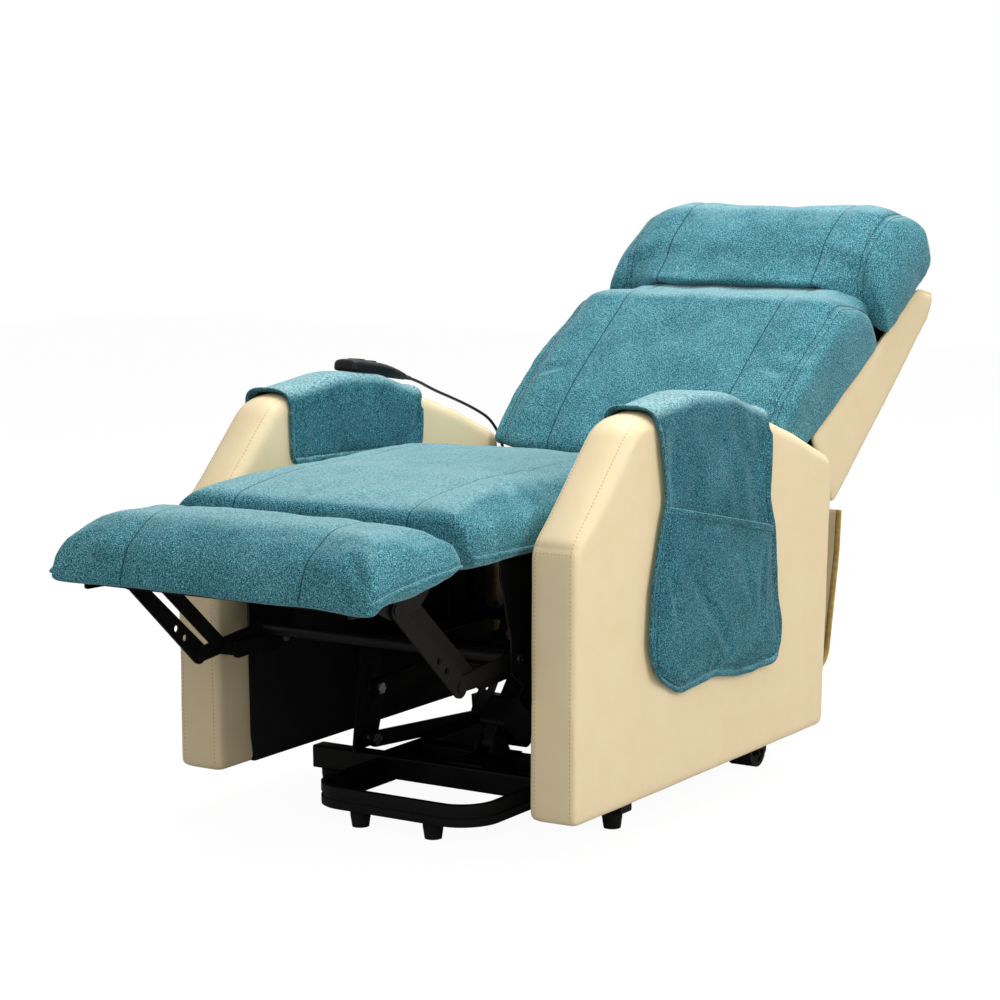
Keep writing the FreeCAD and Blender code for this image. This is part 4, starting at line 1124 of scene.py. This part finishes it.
def hem_loop(grid, inset):
    """A closed line on a grid's surface, the same distance inside each of its edges."""
    down, along = grid_lengths(grid)
    first = (down > inset).argmax(axis=0)
    last = len(grid) - 1 - (down[-1:] - down > inset)[::-1].argmax(axis=0)
    front = (along > inset).argmax(axis=1)
    rear = grid.shape[1] - 1 - (along[:, -1:] - along > inset)[:, ::-1].argmax(axis=1)
    rows = np.arange(first.max(), last.min() + 1)
    columns = np.arange(front.max(), rear.min() + 1)
    parts = [grid[rows, front[rows]], grid[last[columns], columns],
             grid[rows, rear[rows]][::-1], grid[first[columns], columns][::-1]]
    return np.vstack(parts + [parts[0][:1]])


def sew_hem(cloth, grid, inset, half_thickness):
    """A thread row round a cloth, just inside its hem, on the side away from the arm."""
    loop = leaned(hem_loop(grid, inset))
    out = lay_on(cloth, loop)[1]
    away = loop * [1, 0, 1] - [math.copysign(arm_middle, loop[:, 0].mean()), 0, 450.0]
    out = out * np.sign(np.sum(out * away, axis=1))[:, None]
    places = loop + out * (half_thickness + 0.3)
    stitches(f"{cloth.name}_hem_stitches", places, out, hem_gauge, thread_teal, "chassis")


def solidify(piece, thickness_mm):
    """Gives a sheet its thickness, half on each side, as a live modifier."""
    wall = piece.modifiers.new("thickness", "SOLIDIFY")
    wall.thickness = thickness_mm * MM
    wall.offset = 0.0


# %% Arm covers
cover_gap = 3.2
# How high the cover's front and rear edges go over the arm.
over_front, over_rear = 600.0, 575.0
arch_low, arch_high, arch_rows = 22.0, 28.5, 44
top_steps, outer_steps, inner_steps = 110, 120, 44


def arm_top(first, last, count):
    """The arm's top line between two y places: points and outward directions."""
    line = even_steps(rounded(arm_corners), 2.0)
    line = line[line[:, 1] > 480]
    line = line[np.argsort(line[:, 0])]
    y = np.linspace(first, last, count)
    z = np.interp(y, line[:, 0], line[:, 1])
    return np.column_stack([y, z]), unit(np.column_stack([-np.gradient(z, y), np.ones(count)]))


def cover(word, side, outer, inner, low_outer, low_inner, folds, creases):
    """A cloth over an arm. Rows run from the outer hem to the inner hem. Outer and inner
    are the outlines of the two hanging parts, each with the ends of its lowest edge. A
    fold is its place along the cover, its width and its depth."""
    outer_line = even_steps(rounded(outer, closed=False), 2.0)
    inner_line = even_steps(rounded(inner, closed=False), 2.0)
    half = len(outer_line) // 2
    first = outer_line[np.argmin(np.abs(outer_line[:half, 1] - over_front)), 0]
    last = outer_line[half + np.argmin(np.abs(outer_line[half:, 1] - over_rear)), 0]
    top, out = arm_top(first, last, top_steps)
    under = top - out * arch_low
    panels = []
    for line, low, count in ((outer_line, low_outer, outer_steps),
                             (inner_line, low_inner, inner_steps)):
        bottom = stretch_of(line, low[0], low[1], top_steps)
        front = stretch_of(line, low[0], under[0], count)
        rear = stretch_of(line, low[1], under[-1], count)
        front[-1], rear[-1] = under[0], under[-1]
        panels.append(coons(bottom, under, front, rear))
    rows = [at_x(arm_outside + cover_gap, panels[0])]
    half_arch = (arm_outside - arm_inside) / 2 + cover_gap
    for angle in np.linspace(0, np.pi, arch_rows + 2)[1:-1]:
        x = arm_middle + half_arch * math.copysign(abs(math.cos(angle)) ** (2 / 3), math.cos(angle))
        spot = under + out * arch_high * math.sin(angle) ** (2 / 3)
        rows.append(at_x(x, spot)[None])
    rows.append(at_x(arm_inside - cover_gap, panels[1])[::-1])
    grid = np.vstack(rows)
    height = grid_lengths(grid)[0]
    width = np.linspace(0, 1, top_steps)[None, :]
    drop = np.clip(1 - height / height[outer_steps], 0, 1)
    wave = sum(deep * np.exp(-((width - where) / wide) ** 2) for where, wide, deep in folds)
    from_edge = edge_distance(grid)
    hem = 1.2 * np.exp(-(from_edge / 9) ** 4) - 2.0 * np.exp(-((from_edge - 10.5) / 2.2) ** 2)
    flare = 4.6 * np.exp(-from_edge / 14)
    bulge = drop ** 0.9 * wave + hem + flare
    flat_points = grid.reshape(-1, 3)
    uneven = ripple(flat_points, 70 + side, 120.0).reshape(height.shape)
    is_outer = grid[..., 0] > arm_middle
    row_number = np.arange(len(grid))
    on_top = (row_number >= outer_steps) & (row_number < len(grid) - inner_steps)
    lift = np.where(on_top, 1, 0)[:, None] * (flare + hem)
    grid[..., 1:] += lift[..., None] * out[None]
    sideways = np.where(is_outer, bulge + 0.8 * uneven, hem + 0.4 * flare + 0.4 * uneven)
    grid[..., 0] += np.where(is_outer, 1, -1) * np.where(on_top[:, None], 0.0, sideways)
    grid[..., 0] *= side
    made = grid_object(f"arm_cover_{word}_cloth", leaned(grid))
    face_outwards(made)
    press_creases(made, creases)
    solidify(made, 4.8)
    round_off(made)
    dress(made, shaded_cover_chenille, "chassis")
    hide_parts(f"arm_cover_{word}")
    sew_hem(made, grid, 10.5, 2.4)
    return made


left_cover = cover("left", 1,
                   [(-172, 660), (-166, 592, 60), (-146, 485, 40), (-160, 452, 40), (-187, 365, 120),
                    (-194, 282, 70), (-171, 236, 40), (-108, 204, 45), (-12, 212, 60), (63, 199, 60),
                    (176, 199, 45), (198, 250, 60), (181, 300, 90), (174, 410, 90), (162, 450, 50),
                    (168, 660)],
                   [(-172, 660), (-166, 500, 20), (150, 488, 20), (168, 660)],
                   ((-188, 262), (186, 210)), ((-166, 500), (150, 488)),
                   [(0.78, 0.05, 4.5), (0.95, 0.05, 7.0), (0.05, 0.05, 6.0), (0.20, 0.05, -2.0),
                    (0.45, 0.10, 2.5), (0.62, 0.05, 2.0)],
                   [((350, 64, 575), (350, 163, 413), 4.2, 17), ((350, -15, 575), (350, 132, 423), 2.6, 20),
                    ((350, 105, 580), (350, 172, 440), 3.8, 15), ((350, -92, 562), (350, -54, 462), 1.8, 20),
                    ((350, 30, 590), (350, 110, 500), 2.0, 19), ((350, -118, 570), (350, -122, 480), 4.4, 19),
                    ((352, -16, 198), (352, -20, 232), 4.0, 8), ((352, 174, 330), (352, 192, 240), 2.6, 7)])
right_cover = cover("right", -1,
                    [(-192, 660), (-186, 470, 20), (151, 470, 20), (160, 660)],
                    [(-192, 660), (-188, 500, 20), (149, 486, 20), (160, 660)],
                    ((-186, 470), (151, 470)), ((-188, 500), (149, 486)),
                    [(0.3, 0.08, 1.2), (0.75, 0.06, 1.4)],
                    [((-268, -152, 498), (-268, -120, 545), 3.0, 8),
                     ((-268, -75, 496), (-268, -60, 530), 2.6, 7),
                     ((-268, -60, 505), (-268, 30, 500), 1.8, 9),
                     ((-268, 120, 498), (-268, 144, 560), 2.6, 8),
                     ((-268, 70, 500), (-268, 120, 512), 2.0, 8)])
print("covers", left_cover.name, "and", right_cover.name)


# %% [markdown]
# ## Side pocket
# A second, shorter cloth is sewn to the left cover along its front, bottom and rear.
# Its hemmed top stays open, so the pocket bulges: it lies on the cover at the seam
# and rises within a few centimetres. That rise is an exponential of the distance
# from the sewn edge.

# %% Side pocket
pocket_line = even_steps(rounded([(-142, 476), (-150, 440, 30), (-177, 365, 110), (-184, 284, 62),
                                  (-164, 243, 35), (-106, 213, 40), (-12, 221, 60), (63, 208, 60),
                                  (168, 208, 40), (188, 252, 50), (172, 298, 80), (168, 408)],
                                 closed=False), 2.0)
pocket_top = even_steps(rounded([(-142, 476), (-40, 453, 90), (168, 408)], closed=False), 2.0)
pocket_columns, pocket_rows = 130, 104
low_front, low_rear = (-178, 256), (178, 218)
high_front, high_rear = (-142, 476), (168, 408)
bottom = stretch_of(pocket_line, low_front, low_rear, pocket_columns)
front = stretch_of(pocket_line, low_front, high_front, pocket_rows)
rear = stretch_of(pocket_line, low_rear, high_rear, pocket_rows)
top = stretch_of(pocket_top, high_front, high_rear, pocket_columns)
front[0], rear[0] = bottom[0], bottom[-1]
front[-1], rear[-1] = top[0], top[-1]
pocket_grid = at_x(0.0, coons(bottom, top, front, rear))
from_sewn = edge_distance(pocket_grid, rows=(True, False))
from_mouth = edge_distance(pocket_grid, rows=(False, True), columns=(False, False))
width = np.linspace(0, 1, pocket_columns)[None, :]
rise = 9.0 * (1 - np.exp(-from_sewn / 20))
gape = 7.0 * np.sin(width * np.pi) ** 0.5 * np.exp(-from_mouth / 24)
slack = (1.3 * np.sin(width * 2 * np.pi * 2.5 + 0.6) * np.exp(-from_mouth / 70)
         * (1 - np.exp(-from_sewn / 30)))
mouth_hem = 1.0 * np.exp(-(from_mouth / 14) ** 4) - 1.3 * np.exp(-((from_mouth - 15.5) / 2.4) ** 2)
sewn_hem = -1.4 * np.exp(-((from_sewn - 8.0) / 2.4) ** 2)
# The cover's outer face is where the pocket lies at its seams.
cover_face = arm_outside + cover_gap + 4.4
pocket_grid[..., 0] = cover_face + rise + gape + slack + mouth_hem + sewn_hem
pocket = grid_object("cover_pocket_cloth", leaned(pocket_grid))
face_outwards(pocket)
press_creases(pocket, [((362, -84, 365), (362, 24, 250), 2.6, 9),
                       ((362, 126, 400), (362, 116, 280), 2.2, 7),
                       ((362, -150, 400), (362, -120, 300), 2.0, 8),
                       ((360, -16, 205), (360, -10, 240), 3.6, 8),
                       ((362, 60, 380), (362, 90, 300), 1.6, 8),
                       ((360, 165, 330), (360, 178, 250), 2.0, 7)])
solidify(pocket, 3.2)
round_off(pocket)
dress(pocket, shaded_cover_chenille, "chassis")
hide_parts("cover_pocket")
sew_hem(pocket, pocket_grid, 9.0, 1.6)

# %% [markdown]
# ## Inside panels of the arms
# The inner side of each arm is closed with a board in black woven cloth. Its shape
# is a fan: the outline shrinks step by step to its middle, and the board rises
# slightly from its edge, which a thin layer of wadding does.

# %% Black lining cloth


def plain_weave(name, thread_mm, warp_axis, stops, slub_mm, detail, height_mm, settings):
    """A plain weave: its height is the product of two sine waves, one along each thread
    direction, and slow noise shades it. Settings are the shader's own socket values."""
    made, tree, shader, place = start_material(name)
    pace = 2 * math.pi / (thread_mm * MM)
    warp, weft = [maths(tree, "SINE", maths(tree, "MULTIPLY", axis_of(tree, place, axis), pace))
                  for axis in (warp_axis, 2)]
    shade = ramp(tree, noise(tree, place, slub_mm, Detail=detail), stops)
    height = maths(tree, "MULTIPLY", warp, weft)
    feed(tree, shader, {"Base Color": shade, "Normal": relief(tree, height, height_mm, 0.5),
                        **settings})
    return made


# A black polyester weave: threads about 1.2 mm wide, dull, with faint glints.
lining = plain_weave("woven_lining_black", 1.2, 1, [(0.3, "#0B0A0B"), (0.7, "#131213")],
                     50, 3.0, 0.25, {"Roughness": 0.85, "Specular IOR Level": 0.3})
print("lining", lining.name)

# %% Inside panels
panel_line = even_steps(rounded([(-300, 67, 12), (-298, 436, 30), (386, 436, 20), (372, 67, 12)]),
                        5.0)[:-1]
panel_middle = np.array([0.0, 250.0])
panel_steps = np.linspace(0, 1, 26)[:, None]
panel_plane = panel_middle + (panel_line[None] - panel_middle) * (1 - panel_steps[..., None] ** 1.6)
panel_face, panel_rim, wadding = 267.5, 272.6, 2.6
near_edge = np.exp(-np.linalg.norm(panel_plane - panel_line[None], axis=2) / 6.0)
uneven = ripple(at_x(0.0, panel_plane).reshape(-1, 3)[:, [1, 2, 0]], 5, 160.0)
depth = panel_face + wadding * near_edge + 0.25 * uneven.reshape(near_edge.shape)
for side, word in sides:
    rows = [at_x(panel_rim, panel_line)[None], at_x(depth, panel_plane)]
    shape = leaned(np.vstack(rows) * [side, 1, 1])
    panel = grid_object(f"arm_{word}_inside_panel", shape, wrap=True)
    face_outwards(panel)
    dress(panel, lining, "chassis")
    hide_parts("arm_inner_panels")
    print(panel.name, len(panel.data.vertices), "points")


# %% [markdown]
# ## Back and skirt
# The back is a tray of board and foam in faux leather. A piped seam runs along its
# side edge. Below it hangs a skirt of the same cream material from the seat frame,
# pulled tight at the top and slightly baggy in the middle, with a black sheet just
# inside it that keeps the space seen through the mechanism dark. A band of ochre
# cotton binds its side edges.

# %% Back


def smooth_curve(points, count):
    """Curve through points: Catmull-Rom with the parameter along the chords."""
    p = np.asarray(points, float)
    p = np.vstack([2 * p[0] - p[1], p, 2 * p[-1] - p[-2]])
    knots = lengths_along(p[1:-1])
    t = np.linspace(0, knots[-1], count)
    k = np.clip(np.searchsorted(knots, t, side="right") - 1, 0, len(knots) - 2)
    f = ((t - knots[k]) / np.diff(knots)[k])[:, None]
    a, b, c, d = p[k], p[k + 1], p[k + 2], p[k + 3]
    return 0.5 * (2 * b + (c - a) * f + (2 * a - 5 * b + 4 * c - d) * f ** 2
                  + (3 * b - a - 3 * c + d) * f ** 3)


back = even_copy("back_shell", "back_upholstery", 6.0)
soften(back, 4)
points, normals = read_points(back), read_normals(back)
write_points(back, points + normals * (0.7 + 0.5 * ripple(points, 12, 150.0))[:, None])
round_off(back)
dress(back, leather, "back")
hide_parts("back_shell")
welt_line = smooth_curve([(505, 499), (600, 549), (700, 602), (800, 656), (880, 700), (905, 709),
                          (950, 698)], 120)
for side, word in sides:
    places, out = lay_on(back, at_x(side * 251.0, welt_line))
    welt = tube_along(f"back_welt_{word}", places + out * 0.8, 2.4)
    dress(welt, leather, "back")
print("back", len(back.data.vertices), "points")

# %% Ochre cloth
# A loose cotton weave, warm and slightly slubby, with threads about 1.6 mm.
ochre = plain_weave("woven_cotton_ochre", 1.6, 0,
                    [(0.3, "#B28E48"), (0.55, "#C9A65C"), (0.75, "#D8B974")], 9, 4.0,
                    0.3, {"Roughness": 0.9, "Sheen Weight": 0.1})
print("binding", ochre.name)

# %% Skirt
skirt_profile = even_steps(rounded([(588, 368), (581, 300, 118), (543, 127, 40), (470, 94, 48),
                                    (343, 92, 18), (341, 374.5)], closed=False), 5.0)
skirt_half, dark_sheet_half = 260.0, 238.0
skirt_x = np.linspace(-skirt_half, skirt_half, 105)
dark_sheet_x = np.linspace(-dark_sheet_half, dark_sheet_half, 95)
out = outward(skirt_profile)
share = np.linspace(0, 1, len(skirt_profile))[:, None]
bag = 2.0 * np.sin(np.pi * share) * np.cos(skirt_x / skirt_half * np.pi / 2)[None] ** 0.5
folds = 0.8 * np.sin(skirt_x / 31.0)[None] * np.sin(np.pi * share) ** 2


def skirt_cloth(name, x, inward, thickness, material):
    """A sheet along the skirt's profile. Its middle lies inward from the profile, by
    one value or one for each place."""
    inward = np.broadcast_to(inward, (len(skirt_profile), len(x)))[..., None]
    cloth = grid_object(name, at_x(x, skirt_profile[:, None] - out[:, None] * inward))
    face_outwards(cloth)
    solidify(cloth, thickness)
    dress(cloth, material, "seat")
    return cloth


skirt = skirt_cloth("rear_skirt_cloth", skirt_x, 2.0 - folds - bag * 0.5, 2.0, leather)
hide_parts("rear_skirt")
# A black sheet just inside the skirt: the space behind the mechanism is drawn dark.
bindings = [skirt_cloth("skirt_lining_cloth", dark_sheet_x, 5.2, 1.0, lining)]
# The binding's section is an ellipse round the skirt's edge.
band = np.linspace(0, 2 * np.pi, 17)[:-1]
band_out = (2.1 * np.sin(band) - 2.0)[None, :, None]
for side, word in sides:
    shape = at_x(side * (skirt_half - 3.5) + 5.2 * np.cos(band),
                 skirt_profile[:, None] + out[:, None] * band_out)
    binding = grid_object(f"skirt_binding_{word}", shape, wrap=True, close_ends=True)
    face_outwards(binding)
    dress(binding, ochre, "seat")
    bindings.append(binding)

# %% [markdown]
# ## Metal, rubber and plastic of the mechanism
# The frame and linkages are flat and tubular steel with a powder coat: a plastic
# powder baked on, which leaves a fine orange peel and a satin gloss. Pins and bolts
# are zinc plated, the two rods are ground and chromed, and the motors are moulded
# ABS with a spark-eroded texture. These finishes go on the CAD meshes as they are.

# %% Coated, plated and moulded finishes


def coated(name, dark, light, roughness, peel_mm, height_mm, metallic=0.0, cloud_mm=30.0,
           spread=0.06):
    """A finish of a base colour that drifts slowly, over a fine uneven surface."""
    made, tree, shader, place = start_material(name)
    cloud = noise(tree, place, cloud_mm, Detail=5.0, Roughness=0.6)
    peel = noise(tree, place, peel_mm, Detail=2.0)
    feed(tree, shader, {"Base Color": ramp(tree, cloud, [(0.3, dark), (0.7, light)]),
                        "Roughness": span(tree, cloud, 0.3, 0.7, roughness - spread,
                                          roughness + spread),
                        "Metallic": metallic, "Specular IOR Level": 0.5 if metallic else 0.16,
                        "Normal": relief(tree, peel, height_mm, 0.6)})
    return made


finishes = {
    "black_powder_coat": coated("powder_coated_steel_black", "#060505", "#0B0A0A", 0.46, 1.1, 0.06),
    "grey_powder_coat": coated("powder_coated_steel_graphite", "#050404", "#090706", 0.56, 1.1, 0.06),
    "zinc_steel": coated("zinc_plated_steel", "#A3A6A8", "#C9CCCD", 0.30, 2.0, 0.03, 1.0, 8.0),
    "rod_chrome": coated("hard_chromed_rod", "#C4C7CA", "#D6D9DB", 0.14, 3.0, 0.01, 1.0, 20.0, 0.03),
    "motor_plastic": coated("moulded_abs_black", "#0C0C0D", "#141415", 0.52, 0.9, 0.10),
    "foot_rubber": coated("moulded_rubber_foot", "#121212", "#1E1D1C", 0.78, 1.6, 0.15),
    "wheel_rubber": coated("moulded_rubber_wheel", "#1A1A1A", "#282726", 0.66, 1.6, 0.12),
    "slide_nylon": coated("turned_nylon_white", "#D5D1C4", "#E6E3D8", 0.46, 1.0, 0.04),
    "handset_plastic": coated("moulded_abs_handset", "#08090A", "#101113", 0.42, 0.8, 0.05),
    "key_rubber": coated("moulded_silicone_keys", "#2A2C30", "#3A3D42", 0.60, 0.9, 0.05),
}

# %% Plywood of the seat board
# Poplar plywood stained dark: thin glued plies show on the edge, long grain on the face.
plywood, tree, shader, place = start_material("rotary_cut_plywood")
ply_mm = 1.5
stretched = add(tree, "Mapping", {"Vector": place, "Scale": (1.0, 0.08, 1.0)})
grain = noise(tree, stretched.outputs[0], 4.0, Detail=5.0, Distortion=0.5)
layers = maths(tree, "MULTIPLY", axis_of(tree, place, 2), math.pi / (ply_mm * MM))
tone = maths(tree, "MULTIPLY_ADD", maths(tree, "SINE", layers), 0.12, grain)
feed(tree, shader, {"Base Color": ramp(tree, tone, [(0.3, "#2A211A"), (0.5, "#3A2E23"),
                                                    (0.7, "#4A3B2D")]),
                    "Roughness": 0.7})
finishes.update(plywood=plywood, teal_chenille=chenille, cream_faux_leather=leather,
                black_cloth=lining, ochre_cloth=ochre, cord_rubber=cord_pvc)
print("finishes", sorted(finishes))

# %% Give every CAD node its finish
slots = {row["node"]: row["material_slot"] for row in frame["record"]["subparts"]}
for node, thing in frame["nodes"].items():
    thing.data.materials.clear()
    thing.data.materials.append(finishes[slots[node]])
print("finishes", len(finishes), "for", len(slots), "nodes")

# %% [markdown]
# ## Handset
# The handset is a two-part ABS moulding, like a long computer mouse: blunt in front,
# highest round its two keys, and tapering to the cord. Its cross-section is a
# superellipse, |x/a|^n + |h/b|^n = 1, whose upper half grows and shrinks along it.

# %% Handset body
case = node_points("handset_case")
handset_x = float(case[:, 0].min() + case[:, 0].max()) / 2
handset_tilt = math.radians(-10)
handset_foot = np.array([-28.6, 622.6])
handset_ahead = np.array([math.cos(handset_tilt), math.sin(handset_tilt)])
handset_up = np.array([-math.sin(handset_tilt), math.cos(handset_tilt)])
# Along the body: how far from the foot, half the width there, and the top's height.
body_s = np.array([24, 25.5, 29, 36, 46, 60, 80, 100, 118, 138, 158, 174, 183, 186], float)
body_half = np.array([15, 18.5, 21, 23, 24.2, 24.8, 24.6, 23.8, 22.2, 19.0, 14.5, 10.0, 7.4, 5.6])
body_top = np.array([14, 17, 19, 20.4, 21.2, 21.3, 21.3, 21.2, 20.4, 18.2, 15.4, 12.6, 11.0, 9.4])
body_length = body_s[-1] - body_s[0]
stations = np.linspace(0, 1, 90) ** 0.9 * body_length + body_s[0]
half_width = np.interp(stations, body_s, body_half)[:, None]
top_height = np.interp(stations, body_s, body_top)[:, None]
around = np.linspace(0, 2 * np.pi, 65)[:-1]
roundness = 2 / 3.4


def signed_power(value, power):
    """A power of a value's size that keeps the value's sign."""
    return np.sign(value) * np.abs(value) ** power


ring_x = signed_power(np.cos(around), roundness)
ring_h = signed_power(np.sin(around), roundness)
# The two halves of the case meet at the belt, in a fine groove.
underside, lower_half = 4.7, 7.0
belt = underside + lower_half
height = np.where(ring_h > 0, belt + ring_h * (top_height - lower_half),
                  belt + ring_h * np.minimum(6.8, top_height - 2.6))
groove = 0.45 * np.exp(-((height - belt) / 0.5) ** 2)
lateral = ring_x * (half_width - groove)
place_yz = (handset_foot + stations[:, None, None] * handset_ahead
            + height[..., None] * handset_up)
handset = grid_object("handset_body", at_x(handset_x + lateral, place_yz), wrap=True,
                      close_ends=True)
face_outwards(handset)
dress(handset, finishes["handset_plastic"], "chassis")
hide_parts("handset_case")
print("handset", round(float(body_length)), "mm long")

# %% [markdown]
# ## Studio
# A white floor and a white world, as in a catalogue photograph. The world is white
# only where the camera, a mirror or glass sees it, and it lights the chair at a lower
# level. Large soft lamps stand to the front right, to the right and above.

# %% Floor and world
floor_material, tree, shader, place = start_material("painted_studio_floor")
feed(tree, shader, {"Base Color": linear("#BEBEBD"), "Roughness": 0.9,
                    "Specular IOR Level": 0.1})
seen = add(tree, "LightPath")
glow = add(tree, "Emission", {"Color": linear("#FFFFFF"), "Strength": 1.16})
share = maths(tree, "MULTIPLY", seen.outputs["Is Camera Ray"], 0.82)
mixed = add(tree, "MixShader", {0: share, 1: shader.outputs[0], 2: glow.outputs[0]})
output = next(n for n in tree.nodes if n.bl_idname == "ShaderNodeOutputMaterial")
feed(tree, output, {"Surface": mixed.outputs[0]})
floor_side = 14000.0
corner = np.linspace(-floor_side / 2, floor_side / 2, 3)
floor_y, floor_x = np.meshgrid(corner, corner, indexing="ij")
floor = grid_object("studio_floor", np.dstack([floor_x, floor_y, np.zeros_like(floor_x)]))
floor.data.materials.append(floor_material)

world = bpy.data.worlds.new("studio_world")
bpy.context.scene.world = world
world.use_nodes = True
tree = world.node_tree
tree.nodes.clear()
seen = add(tree, "LightPath")
seen_any = maths(tree, "MAXIMUM", seen.outputs["Is Camera Ray"], seen.outputs["Is Glossy Ray"])
seen_all = maths(tree, "MAXIMUM", seen_any, seen.outputs["Is Transmission Ray"])
level = span(tree, seen_all, 0.0, 1.0, 0.31, 1.0)
sky = add(tree, "Background", {"Color": linear("#FFFFFF"), "Strength": level})
add(tree, "OutputWorld", {"Surface": sky.outputs[0]})
print("floor", floor_side / 1000, "m wide")

# %% Lamps


def lamp(name, place_mm, aim_mm, size_mm, watts):
    """A square soft box at a place, turned to face what it lights."""
    data = bpy.data.lights.new(name, "AREA")
    data.shape = "SQUARE"
    data.size = size_mm * MM
    data.energy = watts
    made = new_object(name, data)
    made.location = Vector(metres(place_mm))
    beam = Vector(metres(aim_mm)) - made.location
    made.rotation_euler = beam.to_track_quat("-Z", "Y").to_euler()


lamp("front_softbox", (1500, -2600, 2200), (0, 0, 450), 1500, 24)
lamp("side_softbox", (2900, -200, 1700), (0, 0, 450), 1600, 39)
lamp("top_softbox", (0, 900, 3200), (0, 0, 400), 2000, 84)

bpy.context.scene.view_settings.view_transform = "Standard"
print("lamps", len(bpy.data.lights))
